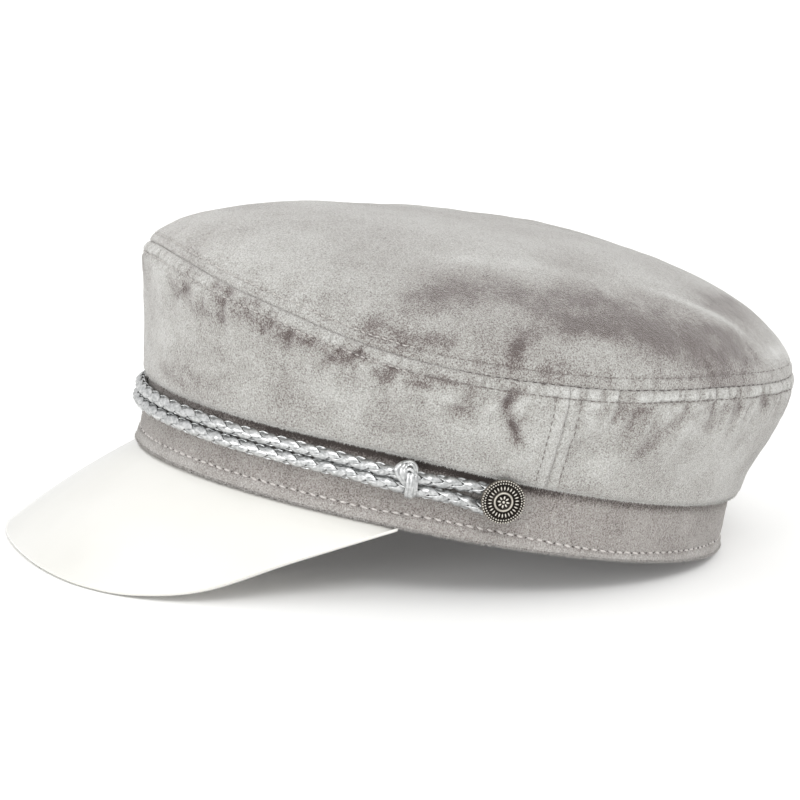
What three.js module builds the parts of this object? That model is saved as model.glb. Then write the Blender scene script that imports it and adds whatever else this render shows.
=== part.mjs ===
// A captain's cap: a soft velvet crown over a stitched velvet band, a stiff patent peak, and a doubled
// braided strap that two knots gather and two side buttons hold.
//
// Millimetres. The cap is shaped about its own band first: the band's lower edge is the plane z = 0,
// the wearer looks along -Y, and +X is the wearer's left. Last, the whole cap is tilted to stand as it
// does by itself, on the front edge of its peak and the rear of its hem, with the surface at z = 0.
// An angle goes round the cap from the middle of the front, 0 degrees, to the middle of the rear, 180.
import * as THREE from "three";

const { degToRad } = THREE.MathUtils;
const upward = new THREE.Vector3(0, 0, 1);

// Gap kept between pieces that touch.
const gap = 0.3;

// Head band: an oval, a little narrower at the front than at the rear.
const bandHalfLength = 102;
const bandHalfWidth = 87.5;
const bandEgg = 0.08;
const bandHeight = 27;
const bandWall = 2.8;
const hemRound = 0.9;
const hemPress = 0.6;
const hemShoulder = 0.25;

// Crown: how far its top seam stands out past the band, and how high the seam and the lower lip are.
const seamOutFront = 7.8;
const seamOutRear = 12.8;
const seamOutSide = 11.7;
const seamEgg = 0.02;
const seamHeight = 60;
const lipOut = 3.3;
const lipHeight = 21;
const crownBulge = 3.3;
const crownWall = 1.8;
const allowanceHeight = 2.8;
const lipEdge = 0.2;
const lipThick = 1;
const seamDip = 22;
const sideSeamAngle = 87.6;
const sideSeamLean = 3;
const domeRise = 32.6;
const domeLean = 0.12;
const domeAhead = 4;
const domeFullness = 2.4;
const domeShoulder = 0.62;
const foldDepth = 2.4;
const foldFade = 6;
const puckerDepth = 0.7;
const puckerPitch = 12;
const puckerDrift = 19.5;
const puckerFade = 8;
const puckerFrom = 80;
const puckerFull = 110;

// Peak: a bent sheet from the front of the band down to the surface that the cap stands on.
const peakReach = 35;
const peakDrop = 39.8;
const peakHalfWidth = 77.3;
const peakSpan = 65;
const peakWall = 2;
const peakThinning = 0.35;
const peakBow = 1.3;
const cornerFade = 4;
const peakTuck = 0.7;
const peakSeat = 2.1;

// Braided strap, its knots and its buttons.
const cordDiameter = 3.6;
const runSpacing = 4.2;
const knotAngle = 65;
const knotHeight = 15.7;
const knotLength = 7.6;
const knotWall = 1.2;
const knotFront = 1.6;
const knotSwell = 0.4;
const knotRound = 0.6;
const holeRound = 0.42;
const buttonAngle = 81.6;
const buttonHeight = 15.7;
const buttonDiameter = 14.2;
const buttonThick = 2.6;
const buttonEdge = 1.4;
const buttonDome = 0.7;
const shankDiameter = 5;

// Numbers of facets.
const crownSteps = 90;
const bandSteps = 72;
const peakSteps = 28;
const cordSides = 8;
const cordSteps = 40;
const knotSteps = 16;
const buttonSides = 24;

// The crown's seam and lip from front to rear, evenly spaced: heights as shares of seamHeight and
// lipHeight.
const crownStations = [
  { seam: 1.115, lip: 1.07 },
  { seam: 1.035, lip: 1.067 },
  { seam: 0.922, lip: 1.11 },
  { seam: 0.941, lip: 1.0 },
  { seam: 1.027, lip: 0.93 },
  { seam: 1.047, lip: 0.938 },
  { seam: 1.033, lip: 0.938 },
];

// Rows up the crown's side: up is the share of the height from lip to seam, and front, side and rear
// are how far the cloth stands out from the straight line between them, as shares of crownBulge.
const sideRows = [
  { up: 0.0, front: -0.7, side: -0.5, rear: -0.5 },
  { up: 0.03, front: -0.36, side: -0.14, rear: -0.14 },
  { up: 0.09, front: -0.28, side: 0.0, rear: -0.05 },
  { up: 0.2, front: -0.22, side: 0.12, rear: 0.0 },
  { up: 0.33, front: -0.15, side: 0.36, rear: 0.36 },
  { up: 0.47, front: 0.0, side: 0.58, rear: 0.9 },
  { up: 0.61, front: 0.22, side: 0.7, rear: 1.0 },
  { up: 0.74, front: 0.5, side: 0.73, rear: 0.85 },
  { up: 0.85, front: 0.66, side: 0.64, rear: 0.66 },
  { up: 0.94, front: 0.46, side: 0.36, rear: 0.36 },
  { up: 1.0, front: 0.0, side: 0.0, rear: 0.0 },
];

// Rings of the domed top, from the seam to the middle, as shares of the way out.
const domeRings = [1, 0.975, 0.93, 0.86, 0.76, 0.62, 0.44, 0.23, 0];

// Dents and soft folds in the crown's side. angle is at half height, lean is how far the fold moves
// round from lip to seam, width is its half width in degrees, at and reach are the middle and half
// length of it up the side, and depth is a share of foldDepth, below zero for a ridge.
const folds = [
  { angle: 78, lean: -9, width: 3.6, at: 0.72, reach: 0.42, depth: 1.0 },
  { angle: 71, lean: -7, width: 5.0, at: 0.55, reach: 0.4, depth: -0.4 },
  { angle: 95, lean: 9, width: 4.2, at: 0.45, reach: 0.45, depth: 0.6 },
  { angle: 104, lean: 7, width: 5.0, at: 0.5, reach: 0.45, depth: -0.35 },
  { angle: 121, lean: 5, width: 7.0, at: 0.35, reach: 0.4, depth: 0.5 },
  { angle: 150, lean: -4, width: 8.0, at: 0.4, reach: 0.4, depth: 0.45 },
  { angle: 38, lean: 6, width: 8.0, at: 0.4, reach: 0.45, depth: 0.3 },
  { angle: -30, lean: -5, width: 8.0, at: 0.45, reach: 0.4, depth: 0.3 },
  { angle: -76, lean: 7, width: 4.4, at: 0.65, reach: 0.4, depth: 0.7 },
  { angle: -98, lean: -8, width: 5.0, at: 0.45, reach: 0.45, depth: 0.6 },
  { angle: -128, lean: -4, width: 7.0, at: 0.4, reach: 0.4, depth: 0.5 },
  { angle: -158, lean: 5, width: 8.0, at: 0.45, reach: 0.4, depth: 0.4 },
];

// The peak's lower outer edge from the middle to a corner, evenly spaced along the band. fan is how
// far out a line across the peak has spread, ahead is the share of the way from corner to tip, and
// lift is the share of the way from the resting surface up to the band.
const peakStations = [
  { fan: 1.63, ahead: 1.0, lift: 0.0 },
  { fan: 1.62, ahead: 0.983, lift: 0.0 },
  { fan: 1.552, ahead: 0.924, lift: 0.0 },
  { fan: 1.451, ahead: 0.799, lift: 0.016 },
  { fan: 1.302, ahead: 0.597, lift: 0.115 },
  { fan: 1.129, ahead: 0.329, lift: 0.45 },
  { fan: 1.0, ahead: 0.0, lift: 0.96 },
];

// The strap's two runs from the middle of the front to the left button: angle and height are places
// on the band, and off is how far a knot holds the cord off it. The right half is the same.
const upperRoute = [
  { angle: 0, height: 18.3, off: 0 },
  { angle: 15, height: 18.4, off: 0 },
  { angle: 30, height: 18.3, off: 0 },
  { angle: 44, height: 18.5, off: 0 },
  { angle: 56, height: 18.3, off: 0.3 },
  { angle: 61, height: 18.0, off: 1.5 },
  { angle: 65, height: 17.8, off: 1.6 },
  { angle: 69, height: 17.9, off: 1.5 },
  { angle: 74, height: 18.2, off: 0.3 },
  { angle: 79.4, height: 17.9, off: 0 },
];
const lowerRoute = [
  { angle: 0, height: 14.0, off: 0 },
  { angle: 15, height: 14.1, off: 0 },
  { angle: 30, height: 14.0, off: 0 },
  { angle: 44, height: 14.2, off: 0 },
  { angle: 56, height: 14.0, off: 0.3 },
  { angle: 61, height: 13.7, off: 1.5 },
  { angle: 65, height: 13.6, off: 1.6 },
  { angle: 69, height: 13.5, off: 1.5 },
  { angle: 74, height: 13.1, off: 0.3 },
  { angle: 79.4, height: 11.6, off: 0 },
];

// Rings along a knot, from one end to the other: along is a share of knotLength from its middle, and
// swell is a share of knotSwell.
const knotRows = [
  { along: -0.5, swell: -0.6 },
  { along: -0.38, swell: 0.7 },
  { along: -0.16, swell: 0.7 },
  { along: 0, swell: 0.2 },
  { along: 0.16, swell: 0.7 },
  { along: 0.38, swell: 0.7 },
  { along: 0.5, swell: -0.6 },
];

// Materials, by what each piece is made of.
const velvet = new THREE.MeshStandardMaterial({ color: 0xbab3b0, roughness: 0.9, metalness: 0 });
const bandVelvet = new THREE.MeshStandardMaterial({ color: 0xa59d9a, roughness: 0.95, metalness: 0 });
const patent = new THREE.MeshStandardMaterial({ color: 0xf1f0eb, roughness: 0.12, metalness: 0 });
const foilCord = new THREE.MeshStandardMaterial({ color: 0xc3c4c8, roughness: 0.35, metalness: 0.7 });
const pewter = new THREE.MeshStandardMaterial({ color: 0x77736d, roughness: 0.45, metalness: 1 });

// A point on an oval that stands out from the band's by out, at an angle round it.
function bandPoint(angle, out, height) {
  const turn = degToRad(angle);
  const wide = (bandHalfWidth + out) * (1 - bandEgg * Math.cos(turn));
  return new THREE.Vector3(wide * Math.sin(turn), -(bandHalfLength + out) * Math.cos(turn), height);
}

// The level direction that points straight out of the band there.
function outward(angle) {
  const step = 0.5;
  const along = bandPoint(angle + step, 0, 0).sub(bandPoint(angle - step, 0, 0));
  return new THREE.Vector3(along.y, -along.x, 0).normalize();
}

// A column of an evenly spaced table, read smoothly at a share of the way from its first row to its
// last, where the table carries on as its own mirror image past both ends.
function readColumn(rows, column, share) {
  const last = rows.length - 1;
  const place = THREE.MathUtils.clamp(share, 0, 1) * last;
  const low = Math.min(Math.floor(place), last - 1);
  const valueAt = (index) => rows[last - Math.abs(last - Math.abs(index))][column];
  const between = new THREE.CubicBezierCurve(
    new THREE.Vector2(0, valueAt(low)),
    new THREE.Vector2(1 / 3, valueAt(low) + (valueAt(low + 1) - valueAt(low - 1)) / 6),
    new THREE.Vector2(2 / 3, valueAt(low + 1) - (valueAt(low + 2) - valueAt(low)) / 6),
    new THREE.Vector2(1, valueAt(low + 1)),
  );
  return between.getPoint(place - low).y;
}

// Any angle as its distance from the front, 0 to 1.
function shareToRear(angle) {
  const turned = THREE.MathUtils.euclideanModulo(angle + 180, 360) - 180;
  return Math.abs(turned) / 180;
}

// A closed wall from a grid of stations, each with as many outer points as inner ones, from its first
// row to its last. A closed wall joins its last station to its first, and an open one gets end faces.
function wallGeometry(stations, closed) {
  const positions = [];
  const rows = stations[0].outer.length;
  const addTriangle = (a, b, c) => {
    const flat = a.distanceTo(b) < 1e-6 || b.distanceTo(c) < 1e-6 || c.distanceTo(a) < 1e-6;
    if (!flat) positions.push(...a.toArray(), ...b.toArray(), ...c.toArray());
  };
  const addQuad = (a, b, c, d) => {
    addTriangle(a, b, c);
    addTriangle(a, c, d);
  };
  const spans = closed ? stations.length : stations.length - 1;
  for (let i = 0; i < spans; i++) {
    const here = stations[i];
    const next = stations[(i + 1) % stations.length];
    for (let k = 0; k < rows - 1; k++) {
      addQuad(here.outer[k], next.outer[k], next.outer[k + 1], here.outer[k + 1]);
      addQuad(here.inner[k + 1], next.inner[k + 1], next.inner[k], here.inner[k]);
    }
    addQuad(here.inner[0], next.inner[0], next.outer[0], here.outer[0]);
    const top = rows - 1;
    addQuad(here.outer[top], next.outer[top], next.inner[top], here.inner[top]);
  }
  if (!closed) {
    const first = stations[0];
    const end = stations[stations.length - 1];
    for (let k = 0; k < rows - 1; k++) {
      addQuad(first.inner[k], first.outer[k], first.outer[k + 1], first.inner[k + 1]);
      addQuad(end.inner[k], end.inner[k + 1], end.outer[k + 1], end.outer[k]);
    }
  }
  const geometry = new THREE.BufferGeometry();
  geometry.setAttribute("position", new THREE.Float32BufferAttribute(positions, 3));
  geometry.computeVertexNormals();
  return geometry;
}

// The direction straight out of a grid of outer points, at one of them.
function gridNormal(grid, i, k, closed) {
  const count = grid.length;
  const before = closed ? grid[(i - 1 + count) % count] : grid[Math.max(i - 1, 0)];
  const after = closed ? grid[(i + 1) % count] : grid[Math.min(i + 1, count - 1)];
  const round = after[k].clone().sub(before[k]);
  const rise = grid[i][Math.min(k + 1, grid[i].length - 1)].clone().sub(grid[i][Math.max(k - 1, 0)]);
  return round.cross(rise).normalize();
}

// How far a fold or dent pulls the crown's side in, at an angle and a share of its height.
function foldPull(angle, up) {
  let pull = 0;
  for (const fold of folds) {
    const away = THREE.MathUtils.euclideanModulo(angle - fold.angle + 180, 360) - 180;
    const across = (away - fold.lean * (up - 0.5)) / fold.width;
    const along = (up - fold.at) / fold.reach;
    pull += fold.depth * foldDepth * Math.exp(-across * across - 2 * along * along);
  }
  return pull * (1 - up ** foldFade);
}

// The soft puckers that the gathered cloth makes under the seam, strongest at the rear.
function puckerPush(angle, up) {
  const rearward = THREE.MathUtils.smoothstep(shareToRear(angle) * 180, puckerFrom, puckerFull);
  const ripple = Math.sin((angle / puckerPitch) * 2 * Math.PI);
  const drift = Math.sin((angle / puckerDrift) * 2 * Math.PI) / 2;
  return puckerDepth * rearward * (ripple + drift) * up * up * (1 - up ** puckerFade);
}

// The lean of the side seams, which the cloth on both sides follows.
function seamTurn(angle, up) {
  return angle - sideSeamLean * (up - 0.5) * Math.sin(degToRad(angle));
}

const seamHalfLength = bandHalfLength + (seamOutFront + seamOutRear) / 2;
const seamShift = (seamOutRear - seamOutFront) / 2;

// A point on the crown's top seam, or a share of the way in from it.
function seamPoint(angle, share) {
  const turn = degToRad(angle);
  const wide = (bandHalfWidth + seamOutSide) * (1 - seamEgg * Math.cos(turn));
  const height = seamHeight * readColumn(crownStations, "seam", shareToRear(angle));
  const level = seamHeight * (1 - share * share) + height * share * share;
  const shift = seamShift - domeAhead * (1 - share);
  return new THREE.Vector3(
    share * wide * Math.sin(turn),
    shift - share * seamHalfLength * Math.cos(turn),
    level,
  );
}

// A wall's inner rim point at the top seam, the same for the side and the top.
function seamRim(point, angle) {
  const dip = degToRad(seamDip);
  const inward = outward(angle).multiplyScalar(-Math.cos(dip));
  inward.z = -Math.sin(dip);
  return point.clone().addScaledVector(inward, crownWall);
}

function sidePoint(angle, row) {
  const leaned = seamTurn(angle, row.up);
  const lip = bandPoint(leaned, lipOut, lipHeight * readColumn(crownStations, "lip", shareToRear(leaned)));
  const point = lip.lerp(seamPoint(leaned, 1), row.up);
  const endwise = Math.cos(degToRad(leaned)) ** 2;
  const end = Math.abs(THREE.MathUtils.euclideanModulo(leaned + 180, 360) - 180) < 90 ? row.front : row.rear;
  const bulge = crownBulge * (row.side * (1 - endwise) + end * endwise);
  const moved = bulge - foldPull(leaned, row.up) + puckerPush(leaned, row.up);
  return point.addScaledVector(outward(leaned), moved);
}

// The angles of the crown's stations between two side seams, which the side and the top share.
function crownAngles(fromAngle, toAngle) {
  const steps = Math.round((crownSteps * (toAngle - fromAngle)) / 360);
  const angles = [];
  for (let i = 0; i <= steps; i++) angles.push(THREE.MathUtils.lerp(fromAngle, toAngle, i / steps));
  return angles;
}

// The side wall between two angles. Its lower inside is the turned seam allowance that sits on the
// band's top edge, and its lip hangs past the band's outside.
function crownSide(fromAngle, toAngle) {
  const parting = THREE.MathUtils.radToDeg(gap / 2 / bandHalfWidth);
  const angles = crownAngles(fromAngle, toAngle);
  angles[0] += parting;
  angles[angles.length - 1] -= parting;
  const step = angles[2] - angles[1];
  const past = [angles[0] - step, ...angles, angles[angles.length - 1] + step];
  const grid = past.map((angle) => sideRows.map((row) => sidePoint(angle, row)));
  const seatHeight = bandHeight + gap;
  const stations = angles.map((angle, i) => {
    const outer = grid[i + 1];
    const top = outer.length - 1;
    outer[top].z -= gap / 2;
    const inner = outer.map((point, k) => {
      const away = gridNormal(grid, i + 1, k, false);
      const along = outward(seamTurn(angle, sideRows[k].up)).cross(upward);
      away.addScaledVector(along, -away.dot(along)).normalize();
      return point.clone().addScaledVector(away, -crownWall);
    });
    const low = seamTurn(angle, 0);
    inner[0] = bandPoint(low, gap, outer[0].z + lipEdge);
    inner[1] = bandPoint(low, gap, outer[1].z + lipThick);
    inner[2] = bandPoint(seamTurn(angle, sideRows[2].up), gap, seatHeight);
    inner[3] = bandPoint(seamTurn(angle, sideRows[3].up), -bandWall, seatHeight);
    inner[4] = bandPoint(seamTurn(angle, sideRows[4].up), -bandWall, seatHeight + allowanceHeight);
    inner[top] = seamRim(outer[top], seamTurn(angle, 1));
    return { outer, inner };
  });
  return wallGeometry(stations, false);
}

// The domed top, from its seam to its middle.
function crownTop() {
  const front = crownAngles(-sideSeamAngle, sideSeamAngle);
  const rear = crownAngles(sideSeamAngle, 360 - sideSeamAngle);
  const angles = [...front, ...rear.slice(1, -1)].map((angle) => seamTurn(angle, 1));
  const rise = (angle, share) => {
    const puff = (1 - share ** domeFullness) ** domeShoulder;
    const lean = 1 - domeLean * share * Math.cos(degToRad(angle));
    return domeRise * puff * lean;
  };
  const grid = angles.map((angle) =>
    domeRings.map((share) => {
      const point = seamPoint(angle, share);
      point.z += rise(angle, share) + (gap / 2) * share;
      return point;
    }),
  );
  const stations = grid.map((outer, i) => {
    const inner = outer.map((point, k) => {
      return point.clone().addScaledVector(gridNormal(grid, i, k, true), -crownWall);
    });
    inner[0] = seamRim(outer[0], angles[i]);
    const middle = outer.length - 1;
    inner[middle] = outer[middle].clone();
    inner[middle].z -= crownWall;
    return { outer, inner };
  });
  return wallGeometry(stations, true);
}

// How the cap stands: the slope of the plane through the front of the peak and the rear of the hem.
const restTilt = Math.atan2(peakDrop + hemPress, 2 * bandHalfLength + peakReach);

function restPlane(y) {
  return hemPress - (bandHalfLength - y) * Math.tan(restTilt);
}

// The band, with a rounded hem that is pressed flat where it rests.
function bandRing() {
  const section = {
    outer: [
      { out: -hemRound, up: 0 },
      { out: -hemRound * hemShoulder, up: hemRound * hemShoulder },
      { out: 0, up: hemRound },
      { out: 0, up: bandHeight / 2 },
      { out: 0, up: bandHeight },
    ],
    inner: [
      { out: hemRound - bandWall, up: 0 },
      { out: hemRound * hemShoulder - bandWall, up: hemRound * hemShoulder },
      { out: -bandWall, up: hemRound },
      { out: -bandWall, up: bandHeight / 2 },
      { out: -bandWall, up: bandHeight },
    ],
  };
  const place = (angle, spot) => {
    const point = bandPoint(angle, spot.out, spot.up);
    point.z = Math.max(point.z, restPlane(point.y));
    return point;
  };
  const stations = [];
  for (let i = 0; i < bandSteps; i++) {
    const angle = (360 * i) / bandSteps;
    stations.push({
      outer: section.outer.map((spot) => place(angle, spot)),
      inner: section.inner.map((spot) => place(angle, spot)),
    });
  }
  return wallGeometry(stations, true);
}

// The peak's lower outer edge as a curve from its right corner to its left.
function peakEdge() {
  const corner = bandPoint(peakSpan, 0, 0);
  const tip = -(bandHalfLength + peakReach);
  const last = peakStations.length - 1;
  const points = [];
  for (let i = -last; i <= last; i++) {
    const row = peakStations[Math.abs(i)];
    const y = THREE.MathUtils.lerp(corner.y, tip, row.ahead);
    points.push(new THREE.Vector3((i / last) * row.fan * peakHalfWidth, y, restPlane(y) * (1 - row.lift)));
  }
  return new THREE.CatmullRomCurve3(points, false, "catmullrom");
}

// The peak: lines from its seat under the hem to its outer edge, bowed up a little in the middle.
function peakSheet() {
  const edge = peakEdge();
  const across = [1, 0.75, 0.5, 0.25, 0];
  const stations = [];
  for (let i = 0; i <= peakSteps; i++) {
    const share = (2 * i) / peakSteps - 1;
    const angle = peakSpan * share;
    const under = edge.getPoint(i / peakSteps);
    under.z = Math.max(under.z, restPlane(under.y));
    const seatUnder = bandPoint(angle, -peakTuck - peakSeat, -gap);
    const seatTop = bandPoint(angle, -peakTuck, -gap);
    const run = under.clone().sub(seatUnder);
    const along = bandPoint(angle + 1, 0, 0).sub(bandPoint(angle - 1, 0, 0));
    const up = along.cross(run).normalize().negate();
    const cornerward = share ** cornerFade;
    const top = under.clone().addScaledVector(up, peakWall * (1 - peakThinning * cornerward));
    const bow = (far) => peakBow * 4 * far * (1 - far) * (1 - cornerward);
    stations.push({
      outer: across.map((far) => seatTop.clone().lerp(top, far).addScaledVector(up, bow(far))),
      inner: across.map((far) => seatUnder.clone().lerp(under, far).addScaledVector(up, bow(far))),
    });
  }
  return wallGeometry(stations, false);
}

const cordSeat = gap + cordDiameter / 2;

// One run of the strap, from the right button round the front to the left one.
function strapRun(route) {
  const half = route.map((stop) => bandPoint(stop.angle, cordSeat + stop.off, stop.height));
  const mirrored = half
    .slice(1)
    .reverse()
    .map((point) => new THREE.Vector3(-point.x, point.y, point.z));
  const path = new THREE.CatmullRomCurve3([...mirrored, ...half]);
  const section = [];
  for (let i = 0; i < cordSides; i++) {
    const turn = ((i + 0.5) * 2 * Math.PI) / cordSides;
    section.push(new THREE.Vector2(Math.cos(turn), Math.sin(turn)).multiplyScalar(cordDiameter / 2));
  }
  return new THREE.ExtrudeGeometry(new THREE.Shape(section), {
    steps: cordSteps,
    extrudePath: path,
    bevelEnabled: false,
  });
}

// A knot: a sleeve of wound cord round both runs. Local x is along the strap, y is out of the band.
function knotSleeve() {
  const holeTall = runSpacing + cordDiameter + 2 * gap;
  const holeDeep = cordDiameter + 2 * gap;
  const loop = (turn, round, tall, deepFront, deepBack) => {
    const side = Math.sin(turn);
    const out = side > 0 ? deepFront : deepBack;
    return {
      y: Math.sign(side) * Math.abs(side) ** round * out,
      z: Math.sign(Math.cos(turn)) * Math.abs(Math.cos(turn)) ** round * (tall / 2),
    };
  };
  const stations = [];
  for (let i = 0; i < knotSteps; i++) {
    const turn = (-(i + 0.5) * 2 * Math.PI) / knotSteps;
    const outer = [];
    const inner = [];
    for (const row of knotRows) {
      const swell = row.swell * knotSwell;
      const front = holeDeep / 2 + knotFront + swell;
      const back = holeDeep / 2 + knotWall;
      const skin = loop(turn, knotRound, holeTall + 2 * knotWall + swell, front, back);
      const hole = loop(turn, holeRound, holeTall, holeDeep / 2, holeDeep / 2);
      outer.push(new THREE.Vector3(row.along * knotLength, skin.y, skin.z));
      inner.push(new THREE.Vector3(row.along * knotLength, hole.y, hole.z));
    }
    stations.push({ outer, inner });
  }
  return wallGeometry(stations, true);
}

const buttonSeat = 2 * gap + cordDiameter;

// A button with its shank, turned about its own axis.
function buttonTurning() {
  const radius = buttonDiameter / 2;
  const shank = shankDiameter / 2;
  const front = buttonSeat + buttonThick;
  const edge = buttonEdge / 2;
  const rim = radius - buttonEdge;
  const dome = (out) => buttonDome * (1 - (out / (rim - edge)) ** 2);
  const profile = [
    [0, 0],
    [shank, 0],
    [shank, buttonSeat],
    [radius - edge, buttonSeat],
    [radius, buttonSeat + edge],
    [radius, front - edge],
    [radius - edge, front],
    [rim, front],
    [rim - edge, front - edge],
    [shank, front - edge + dome(shank)],
    [0, front - edge + dome(0)],
  ];
  return new THREE.LatheGeometry(
    profile.map(([x, y]) => new THREE.Vector2(x, y)),
    buttonSides,
  );
}

const cap = new THREE.Group();

function addPiece(name, geometry, material) {
  const mesh = new THREE.Mesh(geometry, material);
  mesh.name = name;
  cap.add(mesh);
  return mesh;
}

addPiece("crown_top", crownTop(), velvet);
addPiece("crown_side_front", crownSide(-sideSeamAngle, sideSeamAngle), velvet);
addPiece("crown_side_rear", crownSide(sideSeamAngle, 360 - sideSeamAngle), velvet);
addPiece("band", bandRing(), bandVelvet);
addPiece("peak", peakSheet(), patent);
addPiece("strap_cord_upper", strapRun(upperRoute), foilCord);
addPiece("strap_cord_lower", strapRun(lowerRoute), foilCord);

// Turns a piece so that its local y points straight out of the band and its local z up.
function faceOutward(mesh, angle, out, height) {
  const away = outward(angle);
  const basis = new THREE.Matrix4().makeBasis(away.clone().cross(upward), away, upward);
  mesh.quaternion.setFromRotationMatrix(basis);
  mesh.position.copy(bandPoint(angle, 0, height)).addScaledVector(away, out);
}

const knotOff = gap + knotWall + gap + cordDiameter / 2;
for (const [side, sign] of [["left", 1], ["right", -1]]) {
  const knot = addPiece(`knot_${side}`, knotSleeve(), foilCord);
  faceOutward(knot, sign * knotAngle, knotOff, knotHeight);
  const button = addPiece(`button_${side}`, buttonTurning(), pewter);
  faceOutward(button, sign * buttonAngle, gap, buttonHeight);
}

// Stand the cap on the surface, and centre it over the origin from front to rear.
const hat = new THREE.Group();
hat.add(cap);
cap.rotation.x = -restTilt;
cap.position.z = bandHalfLength * Math.sin(restTilt) - hemPress * Math.cos(restTilt);
const box = new THREE.Box3().setFromObject(hat, true);
cap.position.y = -(box.min.y + box.max.y) / 2;

export default hat;
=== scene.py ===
# %% [markdown]
# # A captain's cap in crushed velvet
# The cap is a soft crown of velvet over a stiff stitched head band, with a moulded patent peak in front
# and a doubled braided strap that runs round the front between two metal buttons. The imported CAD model
# fixes every place and size. This lesson dresses it: each cloth panel is laid out as a flat grid and
# wrapped onto the cap's form in code, because gathers, stitched channels and dents all follow the seams,
# and a grid that runs along the seams carries them cleanly.

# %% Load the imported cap
import math
import bpy
import numpy as np
from mathutils import Matrix, Vector


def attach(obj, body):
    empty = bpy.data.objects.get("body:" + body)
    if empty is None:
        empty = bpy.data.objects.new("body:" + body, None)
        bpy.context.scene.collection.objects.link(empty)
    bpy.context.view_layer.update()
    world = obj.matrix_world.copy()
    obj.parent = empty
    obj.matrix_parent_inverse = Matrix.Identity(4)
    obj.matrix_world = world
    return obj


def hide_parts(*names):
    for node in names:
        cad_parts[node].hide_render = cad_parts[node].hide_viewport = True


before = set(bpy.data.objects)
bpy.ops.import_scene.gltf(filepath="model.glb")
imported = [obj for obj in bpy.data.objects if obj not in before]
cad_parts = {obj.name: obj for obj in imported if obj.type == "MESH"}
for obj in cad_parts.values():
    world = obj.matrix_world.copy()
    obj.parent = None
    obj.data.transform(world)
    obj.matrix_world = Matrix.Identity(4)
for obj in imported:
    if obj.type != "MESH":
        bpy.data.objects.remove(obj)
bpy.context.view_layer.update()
print("CAD nodes:", ", ".join(sorted(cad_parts)))

# %% [markdown]
# ## The camera
# A shop photograph of a cap is taken with a long lens from a little above the table. The camera stands
# 1.2 m away, so near and far sides keep nearly the same scale, and it leans a few degrees, as the
# photographer's did. It could be placed by eye, but a fit to the cap's outline is far closer.

# %% Place the camera
mm = 0.001
azimuth, elevation, lean = math.radians(66.87), math.radians(12.32), math.radians(2.91)
distance, frame_pixels = 1.2, 800
focal_pixels, centre_x, centre_y = 3557.1, 432.7, 389.3
look_at = Vector((0, 9.48 * mm, 50 * mm))
back = Vector((math.sin(azimuth) * math.cos(elevation), -math.cos(azimuth) * math.cos(elevation),
               math.sin(elevation)))
lens_data = bpy.data.cameras.new("camera")
camera = bpy.data.objects.new("camera", lens_data)
bpy.context.scene.collection.objects.link(camera)
camera.location = look_at + back * distance
aim = back.to_track_quat("Z", "Y") @ Matrix.Rotation(lean, 3, "Z").to_quaternion()
camera.rotation_euler = aim.to_euler()
lens_data.sensor_width = 36
lens_data.lens = focal_pixels * lens_data.sensor_width / frame_pixels
lens_data.shift_x = (frame_pixels / 2 - centre_x) / frame_pixels
lens_data.shift_y = (centre_y - frame_pixels / 2) / frame_pixels
lens_data.clip_start = 0.01
bpy.context.scene.camera = camera
print(f"lens {lens_data.lens:.1f} mm")

# %% [markdown]
# ## Small helpers
# Colours are written as the sRGB hex values that a colour picker shows, and one function turns them
# into the linear values that Blender mixes. A second one adds a shader node with its settings and links.

# %% Colours and nodes
def linear(hex_colour):
    channels = [int(hex_colour[i:i + 2], 16) / 255 for i in (1, 3, 5)]
    return tuple(c / 12.92 if c <= 0.04045 else ((c + 0.055) / 1.055) ** 2.4 for c in channels) + (1.0,)


def add_node(material, kind, settings=(), values=(), links=()):
    """Adds a node. settings are its own properties, values its sockets, links (socket, node, output)."""
    node = material.node_tree.nodes.new(kind)
    for name, value in dict(settings).items():
        setattr(node, name, value)
    for name, value in dict(values).items():
        node.inputs[name].default_value = value
    for name, source, output in links:
        material.node_tree.links.new(source.outputs[output], node.inputs[name])
    return node


def new_material(name, values, metallic=0.0):
    """A material with its Principled shader, whose plain numbers sit on the shader's own sockets."""
    material = bpy.data.materials.new(name)
    material.use_nodes = True
    shader = material.node_tree.nodes["Principled BSDF"]
    shader.inputs["Metallic"].default_value = metallic
    for socket, value in values.items():
        shader.inputs[socket].default_value = value
    return material, shader


def join(material, source, output, target, socket):
    material.node_tree.links.new(source.outputs[output], target.inputs[socket])


def ramp(material, source, output, stops):
    """A colour ramp of (place, hex colour) stops."""
    node = add_node(material, "ShaderNodeValToRGB", links=[("Fac", source, output)])
    elements = node.color_ramp.elements
    while len(elements) < len(stops):
        elements.new(0.5)
    for element, (place, colour) in zip(elements, stops):
        element.position = place
        element.color = linear(colour)
    return node


print("white is", linear("#ffffff")[0])

# %% [markdown]
# ## Crushed velvet
# Velvet is a woven cloth with a short dense pile of polyester. Where the pile stands up it is dark and
# a little mauve, because the eye looks down into it, and where it is brushed flat it is pale and shines
# like satin. Crushing leaves patches of both. The patches are stored on each panel as an attribute of
# nap and painted shade, so that they follow the cloth, and noise breaks up their borders. The same
# attribute carries painted shade, darker in creases, dents and under the crown's lip, and painted light,
# paler on ridges and at the edges. Sheen lights the pile at grazing angles. A grain of about 0.5 mm, the
# size of the tufts that cling together, is coloured and bumped.

# %% The velvet materials
crush_mm, tuft_mm, grain_mm = 8.0, 2.4, 0.5


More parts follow.
